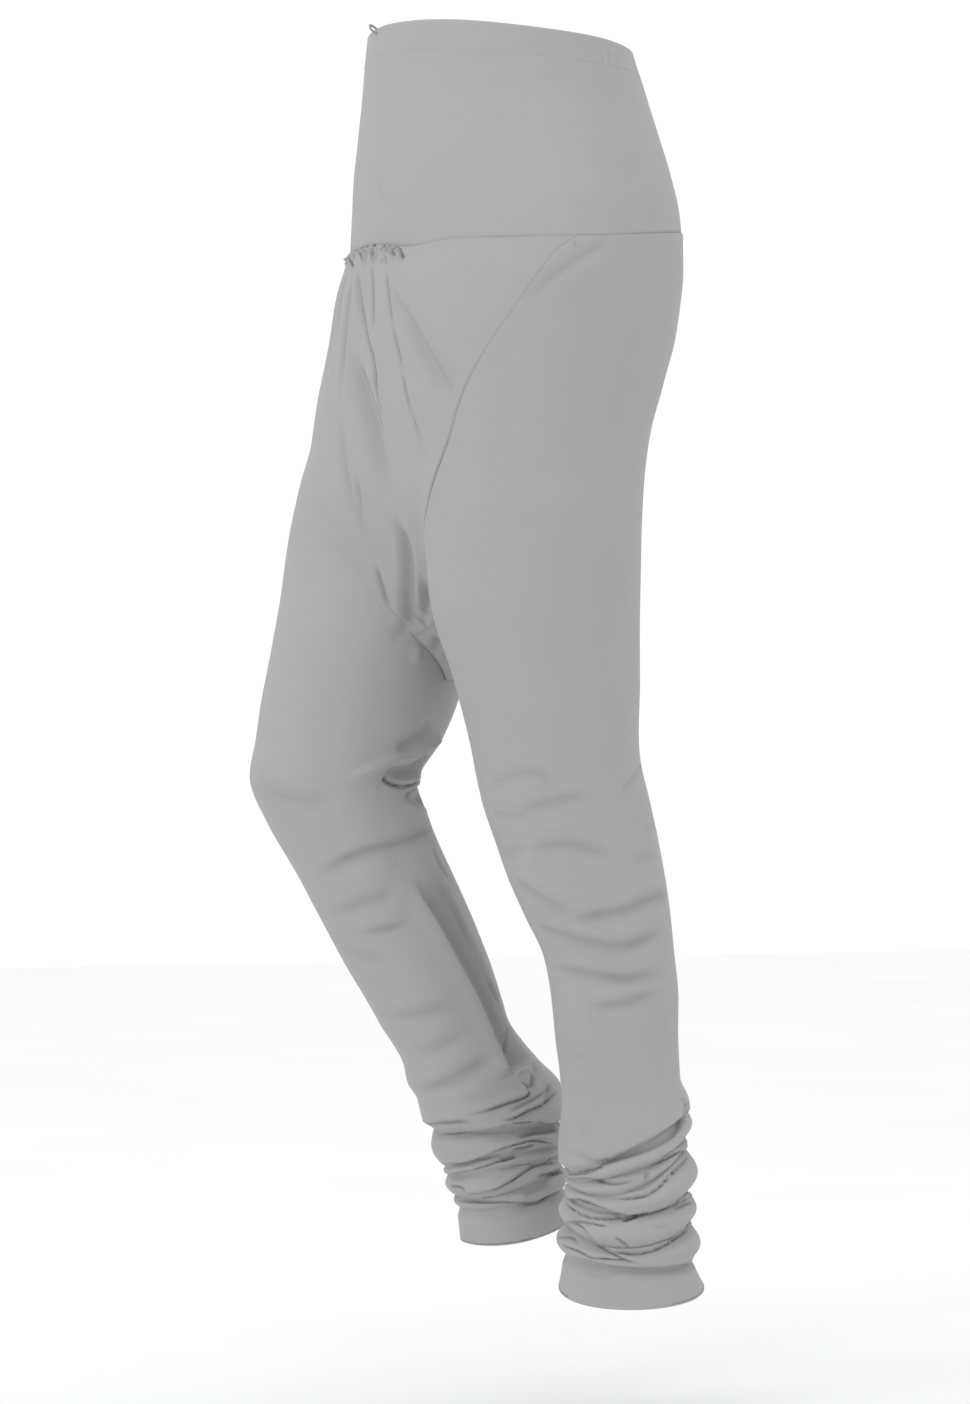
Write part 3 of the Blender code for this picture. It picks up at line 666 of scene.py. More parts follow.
FRONT_FOLDS = [
    ("front_panel", "trough", 2.7, 4.4, 0.2, 0.4,
     [(356, 270), (357, 286), (359, 302), (362, 318), (367, 339)]),
    ("front_panel", "trough", 2.2, 1.6, 0.15, 0.2,
     [(356, 292), (362, 317), (367, 339), (373, 358), (378, 383), (382, 405), (386, 418)]),
    ("front_panel", "trough", 2.4, 2.6, 0.2, 0.4, [(371, 264), (373, 284), (373, 299), (372, 334)]),
    ("front_panel", "trough", 1.4, 1.5, 0.1, 0.25,
     [(387, 258), (388, 276), (389, 292), (393, 327), (400, 358), (407, 396), (417, 430), (423, 449),
      (431, 466)]),
    ("front_panel", "ridge", 3.2, 2.6, 0.2, 0.2,
     [(391, 272), (397, 292), (411, 312), (426, 339), (442, 367), (459, 399)]),
    ("front_panel", "valley", 1.5, 4.6, 0.2, 0.3, [(404, 318), (418, 344), (432, 370), (446, 398)]),
    ("front_panel", "valley", 5.2, 9.5, 0.3, 0.5,
     [(348, 345), (355, 371), (368, 412), (378, 450), (386, 480), (395, 517)]),
    ("front_panel", "trough", 2.0, 1.8, 0.15, 0.4,
     [(357, 362), (367, 386), (378, 411), (384, 430), (386, 446)]),
    ("front_panel", "ridge", 1.9, 4.0, 0.3, 0.3, [(366, 362), (378, 386), (389, 414), (396, 440)]),
    ("front_panel", "valley", 5.4, 5.0, 0.3, 0.12,
     [(392, 508), (399, 528), (405, 542), (408, 567), (409, 597), (411, 614), (414, 630)]),
    ("front_panel", "ridge", 2.7, 3.4, 0.3, 0.1, [(418, 566), (420, 590), (421, 612)]),
    ("front_panel", "valley", 3.6, 3.4, 0.4, 0.15, [(425, 576), (427, 594), (425, 610), (420, 628)]),
    ("front_panel", "valley", 2.4, 2.8, 0.3, 0.4, [(356, 474), (360, 505), (359, 526)]),
    ("front_panel", "trough", 1.6, 1.5, 0.3, 0.2, [(376, 560), (378, 571), (383, 588), (389, 606)]),
    ("right_leg", "trough", 1.2, 4.4, 0.05, 0.7, [(407, 625), (398, 636), (388, 652)]),
    ("right_leg", "ridge", 2.2, 4.0, 0.2, 0.4, [(418, 644), (418, 654), (412, 664)]),
    ("crotch_gusset", "valley", 2.6, 3.6, 0.2, 0.5, [(440, 638), (437, 646), (433, 654)]),
    ("left_leg", "trough", 1.6, 4.6, 0.35, 0.2,
     [(519, 308), (538, 290), (556, 274), (580, 258), (603, 245), (615, 238)]),
    ("left_leg", "trough", 0.5, 1.2, 0.2, 0.5, [(575, 239), (575, 250)]),
]
BELT_FOLDS = [
    ("belt", "trough", 0.4, 2.0, 0.4, 0.4, [(374, 163), (378, 180), (383, 196), (386, 212)]),
    ("belt", "trough", 0.6, 1.3, 0.3, 0.4, [(600, 44), (602, 56), (603, 70)]),
    ("belt", "trough", 0.6, 1.3, 0.3, 0.4, [(607, 46), (609, 58), (610, 74)]),
    ("belt", "trough", 0.5, 1.2, 0.3, 0.4, [(614, 50), (616, 62), (617, 72)]),
    ("belt", "trough", 0.5, 7.0, 0.4, 0.4, [(560, 52), (480, 56), (400, 58)]),
    ("belt", "trough", 0.7, 8.0, 0.4, 0.4, [(636, 150), (628, 186), (634, 220)]),
    ("belt", "trough", 0.6, 9.0, 0.4, 0.4, [(520, 90), (505, 140), (512, 200)]),
]
GATHERS_SEEN = [
    ("front_panel", "pleat", 4.6, 1.3, 0.1, 0.5, [(350, 255), (348, 260), (347, 265)]),
    ("front_panel", "pleat", 2.9, 1.3, 0.05, 0.5, [(357, 245), (356, 253)]),
    ("front_panel", "pleat", 2.9, 1.2, 0.2, 0.5, [(353, 252), (353, 261), (355, 270)]),
    ("front_panel", "pleat", 4.4, 1.4, 0.02, 0.3, [(364, 244), (364, 250), (365, 256), (365, 263)]),
    ("front_panel", "pleat", 4.8, 1.4, 0.02, 0.5, [(368, 245), (368, 253)]),
    ("front_panel", "pleat", 4.8, 1.3, 0.02, 0.5, [(376, 245), (374, 249)]),
    ("front_panel", "pleat", 4.6, 1.4, 0.02, 0.3, [(378, 246), (378, 252), (375, 257), (371, 260)]),
    ("front_panel", "pleat", 4.0, 1.2, 0.02, 0.6, [(386, 246), (385, 252)]),
    ("front_panel", "pleat", 4.2, 1.3, 0.02, 0.6, [(391, 246), (389, 254)]),
    ("front_panel", "pleat", 5.1, 1.4, 0.05, 0.5, [(399, 247), (397, 252), (396, 258)]),
    ("front_panel", "pleat", 2.9, 1.4, 0.05, 0.5, [(402, 248), (403, 254), (405, 261)]),
    ("front_panel", "ridge", 2.2, 1.6, 0.1, 0.4, [(369, 254), (367, 260), (366, 268)]),
    ("front_panel", "ridge", 2.4, 1.8, 0.2, 0.3, [(373, 253), (376, 251)]),
    ("front_panel", "ridge", 1.8, 1.4, 0.1, 0.4, [(381, 247), (380, 256)]),
    ("front_panel", "ridge", 1.6, 1.4, 0.1, 0.4, [(387, 249), (386, 262)]),
    ("front_panel", "ridge", 2.0, 1.6, 0.1, 0.4, [(395, 249), (394, 262)]),
    ("front_panel", "trough", 1.2, 1.2, 0.3, 0.5, [(388, 256), (387, 268)]),
    ("front_panel", "trough", 1.0, 1.2, 0.3, 0.5, [(383, 258), (383, 266)]),
]
FOLDS = ANKLE_FOLDS_NEAR + ANKLE_FOLDS_FAR + CALF_FOLDS + FRONT_FOLDS + GATHERS_SEEN

# Folds on the sides turned away, by angle round the leg and height
HIDDEN_FOLDS = [
    ("left_leg", "lap", 2.6, 2.2, 0.2, 0.2,
     [(95, -826), (125, -836), (160, -842), (200, -838), (235, -846)]),
    ("left_leg", "lap", 2.2, 2.0, 0.2, 0.3, [(110, -851), (140, -858), (175, -856), (205, -862)]),
    ("left_leg", "lap", 2.8, 2.0, 0.2, 0.2,
     [(90, -861), (130, -870), (170, -874), (215, -866), (245, -862)]),
    ("left_leg", "lap", 2.4, 2.0, 0.2, 0.2,
     [(100, -884), (140, -892), (180, -890), (220, -886), (250, -884)]),
    ("left_leg", "trough", 1.6, 1.6, 0.3, 0.3, [(150, -846), (170, -850), (190, -848)]),
    ("left_leg", "trough", 1.8, 1.6, 0.3, 0.3, [(120, -878), (150, -881), (175, -883)]),
    ("left_leg", "trough", 1.6, 5.0, 0.3, 0.3, [(110, -640), (150, -652), (190, -648), (215, -655)]),
    ("left_leg", "trough", 1.4, 5.0, 0.3, 0.3, [(120, -690), (160, -700), (200, -694)]),
    ("left_leg", "trough", 1.3, 5.0, 0.3, 0.3, [(140, -744), (180, -738), (220, -748)]),
    ("left_leg", "trough", 1.5, 5.0, 0.3, 0.3, [(85, -575), (115, -566), (150, -572), (180, -583)]),
    ("right_leg", "lap", 2.6, 2.2, 0.2, 0.2, [(-40, -806), (-5, -812), (40, -806), (90, -800)]),
    ("right_leg", "lap", 2.4, 2.0, 0.2, 0.2, [(-50, -822), (-10, -826), (30, -832), (80, -822)]),
    ("right_leg", "lap", 2.6, 2.0, 0.2, 0.2, [(-55, -842), (-15, -848), (30, -842), (85, -838)]),
    ("right_leg", "lap", 2.2, 2.0, 0.2, 0.2, [(-30, -856), (10, -862), (60, -852), (100, -848)]),
    ("right_leg", "lap", 2.4, 2.2, 0.2, 0.2, [(-60, -876), (-20, -874), (30, -878), (90, -869)]),
    ("right_leg", "trough", 1.8, 1.6, 0.3, 0.3, [(-20, -834), (5, -838), (30, -836)]),
    ("right_leg", "trough", 1.6, 6.0, 0.3, 0.3, [(-75, -560), (-40, -566), (0, -560), (35, -568)]),
    ("right_leg", "trough", 1.5, 6.0, 0.3, 0.3, [(-40, -606), (0, -614), (45, -604)]),
    ("right_leg", "trough", 1.4, 5.0, 0.3, 0.3, [(-30, -662), (10, -668), (55, -656)]),
    ("right_leg", "trough", 1.3, 5.0, 0.3, 0.3, [(-50, -710), (-10, -716), (35, -708)]),
    ("right_leg", "lap", 2.0, 3.4, 0.3, 0.3, [(60, -566), (90, -560), (120, -563), (150, -570)]),
]


def through(points, count):
    """Smooth line through the points, in even steps."""
    p = np.array(points, dtype=float)
    if len(p) == 2:
        t = np.linspace(0, 1, count)[:, None]
        return p[0] + (p[1] - p[0]) * t
    q = np.concatenate([[2 * p[0] - p[1]], p, [2 * p[-1] - p[-2]]])
    line = []
    for k in range(len(p) - 1):
        a, b, c, d = q[k:k + 4]
        for t in np.linspace(0, 1, 16, endpoint=False):
            line.append(0.5 * (2 * b + (c - a) * t + (2 * a - 5 * b + 4 * c - d) * t * t
                               + (3 * b - a - 3 * c + d) * t ** 3))
    line.append(p[-1])
    line = np.array(line)
    length = np.concatenate([[0], np.cumsum(np.linalg.norm(np.diff(line, axis=0), axis=1))])
    want = np.linspace(0, length[-1], count)
    return np.stack([np.interp(want, length, line[:, k]) for k in range(line.shape[1])], -1)


def soften(line, rounds=3):
    for _ in range(rounds):
        line = line.copy()
        line[1:-1] = (line[:-2] + 2 * line[1:-1] + line[2:]) / 4
    return line


def on_visible(cloth, route, count):
    """Points of the cloth that the camera sees under a route in pixels."""
    p, n = cloth.points, cloth.normals
    eye = np.array(AIM + BACK * STAND_OFF)
    facing = np.einsum("ijk,ijk->ij", n, eye - p) > 0
    if hasattr(cloth, "hem_rows"):
        facing[-cloth.hem_rows:] = False
    seen_p, seen_n = p[facing], n[facing]
    flat = in_view(seen_p)
    line, normals = [], []
    for spot in through(route, count):
        far = ((flat - spot) ** 2).sum(1)
        near = np.argpartition(far, 12)[:12]
        share = np.exp(-(far[near] - far[near].min()) / 2.5)
        share /= share.sum()
        line.append(share @ seen_p[near])
        normals.append(share @ seen_n[near])
    return soften(np.array(line)), soften(np.array(normals))


def on_leg(cloth, route, count):
    """Points of a leg under a route of angles and heights."""
    line, normals = [], []
    turn = 360.0
    degrees = np.degrees(cloth.angle)
    keep = len(cloth.z) - cloth.hem_rows
    for angle, z in through(route, count):
        apart = (degrees[:keep] - angle + turn / 2) % turn - turn / 2
        cost = (apart * 0.8) ** 2 + (cloth.z[:keep] - z) ** 2
        i, j = np.unravel_index(np.argmin(cost), cost.shape)
        line.append(cloth.points[i, j])
        normals.append(cloth.normals[i, j])
    return soften(np.array(line)), soften(np.array(normals))


def fold_profile(kind, d, w):
    """Height of a fold across its line, and the shade painted into the cloth's colour there; d is positive
    on its upper side.
    """
    if kind == "trough":
        shoulder = 0.22 * np.exp(-((np.abs(d) - 2.0 * w) / (1.1 * w)) ** 2)
        return shoulder - np.exp(-(d / w) ** 2), np.exp(-(d / (0.8 * w)) ** 2) * min(1.0, 1.8 / w) ** 1.5
    if kind == "ridge":
        return np.exp(-(d / w) ** 2), np.zeros_like(d)
    if kind == "sag":
        x = d + 0.3 * w
        return (0.2 * np.exp(-((d - 1.4 * w) / w) ** 2)
                - np.exp(-(x / np.where(x > 0, 0.6 * w, 1.9 * w)) ** 2),
                0.28 * np.exp(-(d / w) ** 2))
    if kind == "valley":
        return (0.2 * np.exp(-((np.abs(d) - 2.0 * w) / w) ** 2) - np.exp(-(d / w) ** 2),
                0.2 * np.exp(-(d / w) ** 2))
    if kind == "pleat":
        shoulder = 0.5 * np.exp(-((np.abs(d) - 1.9 * w) / (0.9 * w)) ** 2)
        return shoulder - np.exp(-(d / w) ** 2), 1.3 * np.exp(-(d / (0.8 * w)) ** 2)
    if kind == "corner":
        crest = np.exp(-(d / np.where(d > 0, 2.2 * w, 0.55 * w)) ** 2)
        # painted shadow on the strip beside the corner, where the near leg shades the far leg's inner back
        painted_shadow_strip = smoothstep(-d, 0.1 * w, 0.5 * w) * (1 - smoothstep(-d, 5.0 * w, 8.0 * w))
        return crest - 0.8 * np.exp(-((d + 1.7 * w) / (1.3 * w)) ** 2), 0.42 * painted_shadow_strip
    if kind == "shelf":
        return (0.9 * np.exp(-((d + 1.2 * w) / (1.1 * w)) ** 2)
                - 0.7 * np.exp(-((d - 0.5 * w) / (0.8 * w)) ** 2),
                0.4 * np.exp(-((d - 0.2 * w) / (0.6 * w)) ** 2))
    lip = 0.55 * np.exp(-((d - 1.3 * w) / (1.3 * w)) ** 2)
    slot = -1.0 * np.exp(-((d + 0.15 * w) / (0.5 * w)) ** 2)
    rest = -0.3 * np.exp(-((d + 1.5 * w) / (1.6 * w)) ** 2)
    return lip + slot + rest, np.exp(-((d + 0.15 * w) / (0.42 * w)) ** 2)


def press_fold(cloths, line, normals, kind, depth, width, fade_in, fade_out):
    """Press one fold into every piece of cloth that it runs over."""
    ahead = np.gradient(line, axis=0)
    ahead /= np.maximum(np.linalg.norm(ahead, axis=1, keepdims=True), 1e-9)
    side = np.cross(normals, ahead)
    side /= np.maximum(np.linalg.norm(side, axis=1, keepdims=True), 1e-9)
    mean = -side @ np.array(ACROSS) if kind == "corner" else side[:, 2]
    if mean.sum() < 0:
        side = -side
    share = np.linspace(0, 1, len(line))
    fade = smoothstep(share, 0, max(fade_in, 0.001)) * smoothstep(1 - share, 0, max(fade_out, 0.001))
    reach = (8.5 if kind == "corner" else 5.0) * width
    low, high = line.min(0) - reach, line.max(0) + reach
    for cloth in cloths:
        p = cloth.points
        near = np.all((p > low) & (p < high), axis=-1)
        if not near.any():
            continue
        q = p[near]
        gap = q[:, None, :] - line[None]
        square = (gap ** 2).sum(-1)
        k = square.argmin(1)
        rows = np.arange(len(q))
        d = np.einsum("ij,ij->i", gap[rows, k], side[k])
        along = np.einsum("ij,ij->i", gap[rows, k], ahead[k])
        beyond = np.where((k == 0) | (k == len(line) - 1), np.abs(along), 0.0)
        distance = np.sqrt(square[rows, k])
        d = np.where(np.abs(d) > 1e-6, np.sign(d), 1) * np.sqrt(np.maximum(distance ** 2 - beyond ** 2, 0))
        hush = np.exp(-(beyond / (1.2 * width)) ** 2)
        agree = np.einsum("ij,ij->i", cloth.normals[near], normals[k]) > 0.2
        rise, shade = fold_profile(kind, d, width)
        amount = fade[k] * hush * agree
        cloth.push[near] += depth * rise * amount
        # painted shade: darkens the cloth's colour down in the fold
        cloth.painted_shade[near] = np.maximum(cloth.painted_shade[near], shade * amount * min(1.0, depth / 3.0))


def ripple(cloths, height, wave, seed, low=-1e9, high=1e9):
    """Slow unevenness of hanging cloth, the same on both sides of a seam."""
    rng = np.random.default_rng(seed)
    ways = rng.normal(size=(9, 3)) * np.array([1.0, 1.0, 0.8])
    ways /= np.linalg.norm(ways, axis=1, keepdims=True)
    waves = wave * rng.uniform(0.7, 1.7, size=9)
    starts = rng.uniform(0, 2 * math.pi, size=9)
    for cloth in cloths:
        p = cloth.points
        total = np.zeros(p.shape[:2])
        for way, length, start in zip(ways, waves, starts):
            total += np.sin(p @ way * 2 * math.pi / length + start)
        share = smoothstep(p[..., 2], low, low + 40) * (1 - smoothstep(p[..., 2], high - 40, high))
        cloth.push += total / 9 ** 0.5 * height * share


# Gathers under the belt: x at the seam, x at the lower end, length, depth, half-width
FRONT_GATHERS = [
    (-5, -3, 15, 3.2, 1.7), (-15, -16, 6, 2.7, 1.4), (-25, -27, 10.5, 3.4, 1.6),
    (-33, -32, 6, 2.6, 1.3), (-40, -45, 14, 3.6, 1.8), (-49, -48, 7.5, 3.0, 1.4),
    (-57, -63, 11, 3.6, 1.8), (-66, -67, 6, 2.4, 1.3),
]
BACK_GATHERS = [
    (-46, -49, 7, 1.6, 1.3), (-37, -36, 5, 1.8, 1.1), (-28, -30, 12, 2.2, 1.4), (-20, -20, 5, 1.6, 1.0),
    (-12, -11, 7, 2.0, 1.2), (-3, -4, 16, 2.4, 1.4), (6, 6, 5, 1.6, 1.0), (15, 16, 10, 2.2, 1.3),
    (24, 23, 5, 1.6, 1.1), (33, 36, 12, 2.2, 1.4), (43, 44, 6, 1.6, 1.2),
]
# Soft folds that the gathers run out into: x and distance down at each point
FRONT_RUNS = [
    (1.8, 3.6, [(-20, 12), (-26, 40), (-30, 80), (-30, 120)]),
    (1.4, 3.0, [(-40, 10), (-46, 36), (-48, 70)]),
    (1.6, 4.0, [(-56, 14), (-64, 50), (-66, 96)]),
    (1.8, 4.6, [(-30, 120), (-22, 160), (-12, 200), (-4, 236)]),
]
BACK_RUNS = [
    (1.6, 4.0, [(-28, 12), (-34, 40), (-36, 76)]),
    (1.8, 4.4, [(-3, 14), (-2, 50), (0, 110)]),
    (1.6, 4.0, [(34, 12), (40, 44), (42, 84)]),
    (2.2, 6.0, [(-16, 150), (-8, 190), (0, 230)]),
]


def on_panel(cloth, route, count):
    """Points of a panel under a route of x and distance down from its top edge."""
    p = cloth.points
    below = p[:1, :, 2] - p[..., 2]
    line, normals = [], []
    for x, down in through(route, count):
        i, j = np.unravel_index(np.argmin((p[..., 0] - x) ** 2 + (below - down) ** 2), below.shape)
        line.append(p[i, j])
        normals.append(cloth.normals[i, j])
    return soften(np.array(line)), soften(np.array(normals))


def gather_under_belt(cloth, gathers, runs, width):
    """Pull the top of a panel into small gathers below the belt's seam."""
    p = cloth.points
    below = np.maximum(p[:1, :, 2] - p[..., 2], 0)
    puff = PUFF * smoothstep(below, 0, 4) * np.exp(-below / 24.0)
    cloth.push += puff * (1 - smoothstep(np.abs(p[..., 0]), 0.6 * width, width))
    for x_top, x_end, length, depth, half_width in gathers:
        line, normals = on_panel(cloth, [(x_top, 0), (x_end, length)], 24)
        press_fold([cloth], line, normals, "pleat", depth, half_width, 0.0, 0.85)
    for depth, half_width, route in runs:
        line, normals = on_panel(cloth, route, 48)
        press_fold([cloth], line, normals, "trough", depth, half_width, 0.25, 0.4)


def seam_show(z, side):
    """How deep a seam beside the front panel sinks at a height, and how much shade is painted along it."""
    if side < 0:
        return 0.4 - 0.4 * smoothstep(-z, 330, 360) + 0.22 * smoothstep(-z, 408, 424)
    return 0.3 + 0.5 * smoothstep(-z, 225, 290) + 0.6 * smoothstep(-z, 300, 330)


def tuck_edges(cloth, sides=(1.0, 1.0), first=0.0, last=0.0):
    """Sink the edges of a piece into the seams that they meet in, each by its share, and paint shade along
    those grooves.
    """
    p = cloth.points
    step = np.linalg.norm(np.diff(p, axis=1), axis=2)
    run = np.concatenate([np.zeros((len(p), 1)), np.cumsum(step, axis=1)], axis=1)
    down = np.linalg.norm(np.diff(p, axis=0), axis=2)
    fall = np.concatenate([np.zeros((1, p.shape[1])), np.cumsum(down, axis=0)], axis=0)
    edges = ((run, sides[0]), (run[:, -1:] - run, sides[1]), (fall, first), (fall[-1:] - fall, last))
    groove = np.zeros(p.shape[:2])
    for distance, share in edges:
        groove = np.maximum(groove, share * np.exp(-(distance / SEAM_SOFT) ** 2))
    cloth.push -= SEAM_TUCK * groove
    # painted shade along the seam grooves
    cloth.painted_shade = np.maximum(cloth.painted_shade, 0.4 * groove)


# Meshes of the cloth
def grid_mesh(cloth):
    """Mesh of a grid of cloth, with its flat lengths as UV and the shade painted into its folds and seams
    as an attribute.
    """
    p = cloth.final()
    rows, cols = p.shape[:2]
    index = np.arange(rows * cols).reshape(rows, cols)
    if cloth.closed_from is not None:
        k = cloth.closed_from
        index[k:, -1] = index[k:, 0]
    used, inverse = np.unique(index, return_inverse=True)
    inverse = inverse.reshape(index.shape)
    verts = p.reshape(-1, 3)[used] * MM
    a, b = inverse[:-1, :-1], inverse[1:, :-1]
    c, d = inverse[1:, 1:], inverse[:-1, 1:]
    quads = np.stack([a, d, c, b] if cloth.flip else [a, b, c, d], -1).reshape(-1, 4)
    mesh = bpy.data.meshes.new(cloth.name)
    mesh.from_pydata(verts.tolist(), [], quads.tolist())
    across = np.linalg.norm(np.diff(p, axis=1), axis=2)
    along = np.linalg.norm(np.diff(p, axis=0), axis=2)
    u = np.concatenate([np.zeros((rows, 1)), np.cumsum(across, axis=1)], axis=1)
    u -= u[:, -1:] / 2
    v = np.concatenate([np.zeros((1, cols)), np.cumsum(along, axis=0)], axis=0)
    uv = np.stack([u, -v], -1) * MM
    ring = [uv[:-1, :-1], uv[1:, :-1], uv[1:, 1:], uv[:-1, 1:]]
    corners = np.stack([ring[k] for k in ((0, 3, 2, 1) if cloth.flip else (0, 1, 2, 3))], 2)
    corners = corners.reshape(-1, 2)
    layer = mesh.uv_layers.new(name="flat_cloth")
    layer.data.foreach_set("uv", corners.ravel())
    # attribute holding the painted shade of folds and seams
    painted_crease_shade = mesh.attributes.new("painted_crease_shade", "FLOAT", "POINT")
    painted_crease_shade.data.foreach_set("value", cloth.painted_shade.reshape(-1)[used])
    mesh.shade_smooth()
    mesh.update()
    obj = bpy.data.objects.new(cloth.name, mesh)
    bpy.context.scene.collection.objects.link(obj)
    return obj


# Materials
def linear(hex_colour):
    """Linear colour from an sRGB hex value."""
    parts = [int(hex_colour[i:i + 2], 16) / 255 for i in (1, 3, 5)]
    return [c / 12.92 if c <= 0.04045 else ((c + 0.055) / 1.055) ** 2.4 for c in parts] + [1.0]


def add(tree, kind, settings=None, links=None):
    """One node with its settings, and links from other nodes' sockets into it."""
    node = tree.nodes.new(kind)
    for key, value in (settings or {}).items():
        if isinstance(key, str) and hasattr(node, key):
            setattr(node, key, value)
        else:
            node.inputs[key].default_value = value
    for key, socket in (links or {}).items():
        tree.links.new(socket, node.inputs[key])
    return node


def plain_weave_cotton(name, colour, shadow):
    """Plain-weave cotton, piece-dyed and pressed: matt, with a faint slub, soft
    unevenness where it has been handled, and painted shade down in its creases, folds and seams."""
    material = bpy.data.materials.new(name)
    material.use_nodes = True
    tree = material.node_tree
    shader = tree.nodes["Principled BSDF"]
    place = add(tree, "ShaderNodeTexCoord")
    cloud = add(tree, "ShaderNodeTexNoise", {"Scale": 9.0, "Detail": 3.0, "Roughness": 0.5},
                {"Vector": place.outputs["Object"]})
    slub = add(tree, "ShaderNodeMapping", {"Scale": (420.0, 60.0, 1.0)},
               {"Vector": place.outputs["UV"]})
    yarn = add(tree, "ShaderNodeTexNoise", {"Scale": 1.0, "Detail": 2.0},
               {"Vector": slub.outputs["Vector"]})
    tone = add(tree, "ShaderNodeMixRGB", {"blend_type": "MIX", "Color1": linear(colour),
                                          "Color2": linear(shadow)},
               {"Fac": add(tree, "ShaderNodeMapRange",
                           {"From Min": 0.35, "From Max": 0.75, "To Min": 0.0, "To Max": 0.22},
                           {"Value": cloud.outputs["Fac"]}).outputs["Result"]})
    flecks = add(tree, "ShaderNodeMixRGB", {"blend_type": "MIX", "Color2": linear(shadow)},
                 {"Color1": tone.outputs["Color"],
                  "Fac": add(tree, "ShaderNodeMapRange",
                             {"From Min": 0.45, "From Max": 0.8, "To Min": 0.0, "To Max": 0.1},
                             {"Value": yarn.outputs["Fac"]}).outputs["Result"]})
    painted_crease_shade = add(tree, "ShaderNodeAttribute", {"attribute_name": "painted_crease_shade"})
    # painted shade: multiplies the colour down towards 0.42 grey where the painted fold and seam shade is
    # high
    deep = add(tree, "ShaderNodeMixRGB", {"blend_type": "MULTIPLY", "Color2": (0.42, 0.42, 0.42, 1.0)},
               {"Color1": flecks.outputs["Color"],
                "Fac": add(tree, "ShaderNodeMath", {"operation": "MULTIPLY", 1: 0.95},
                           {0: painted_crease_shade.outputs["Fac"]}).outputs["Value"]})
    tree.links.new(deep.outputs["Color"], shader.inputs["Base Color"])
    # threads 0.6 mm apart, drawn twice as coarse as the real ones so that they show
    warp = add(tree, "ShaderNodeTexWave", {"wave_type": "BANDS", "bands_direction": "X",
                                           "Scale": 260.0, "Distortion": 0.6, "Detail": 1.0},
               {"Vector": place.outputs["UV"]})
    weft = add(tree, "ShaderNodeTexWave", {"wave_type": "BANDS", "bands_direction": "Y",
                                           "Scale": 260.0, "Distortion": 0.6, "Detail": 1.0},
               {"Vector": place.outputs["UV"]})
    weave = add(tree, "ShaderNodeMath", {"operation": "MULTIPLY"},
                {0: warp.outputs["Fac"], 1: weft.outputs["Fac"]})
    fine = add(tree, "ShaderNodeBump", {"Strength": 0.12, "Distance": 0.0002},
               {"Height": weave.outputs["Value"]})
    rumple = add(tree, "ShaderNodeTexNoise", {"Scale": 55.0, "Detail": 4.0, "Roughness": 0.55},
                 {"Vector": place.outputs["Object"]})
    soft = add(tree, "ShaderNodeBump", {"Strength": 0.12, "Distance": 0.002},
               {"Height": rumple.outputs["Fac"], "Normal": fine.outputs["Normal"]})
    tree.links.new(soft.outputs["Normal"], shader.inputs["Normal"])
    shader.inputs["Roughness"].default_value = 0.93
    shader.inputs["IOR"].default_value = 1.46
    shader.inputs["Specular IOR Level"].default_value = 0.25
    shader.inputs["Sheen Weight"].default_value = 0.12
    shader.inputs["Sheen Roughness"].default_value = 0.6
    return material


def spun_thread(name, colour):
    """Spun polyester sewing thread, twisted: slightly brighter than the cloth, a painted highlight on the
    stitches.
    """
    material = bpy.data.materials.new(name)
    material.use_nodes = True
    tree = material.node_tree
    shader = tree.nodes["Principled BSDF"]
    place = add(tree, "ShaderNodeTexCoord")
    twist = add(tree, "ShaderNodeTexNoise", {"Scale": 900.0, "Detail": 1.0},
                {"Vector": place.outputs["Object"]})
    shade = add(tree, "ShaderNodeMapRange", {"To Min": 0.85, "To Max": 1.08},
                {"Value": twist.outputs["Fac"]})
    tint = add(tree, "ShaderNodeVectorMath", {"operation": "SCALE", 0: linear(colour)[:3]},
               {"Scale": shade.outputs["Result"]})
    tree.links.new(tint.outputs["Vector"], shader.inputs["Base Color"])
    shader.inputs["Roughness"].default_value = 0.6
    return material


def pale_floor():
    """Seamless painted studio floor: white, matt, with a trace of mottling."""
    material = bpy.data.materials.new("painted_studio_floor")
    material.use_nodes = True
    tree = material.node_tree
    shader = tree.nodes["Principled BSDF"]
    place = add(tree, "ShaderNodeTexCoord")
    noise = add(tree, "ShaderNodeTexNoise", {"Scale": 3.0}, {"Vector": place.outputs["Object"]})
    tone = add(tree, "ShaderNodeMixRGB", {"Color1": linear("#F6F6F6"), "Color2": linear("#F0F0F0")},
               {"Fac": noise.outputs["Fac"]})
    tree.links.new(tone.outputs["Color"], shader.inputs["Base Color"])
    shader.inputs["Roughness"].default_value = 0.95
    return material


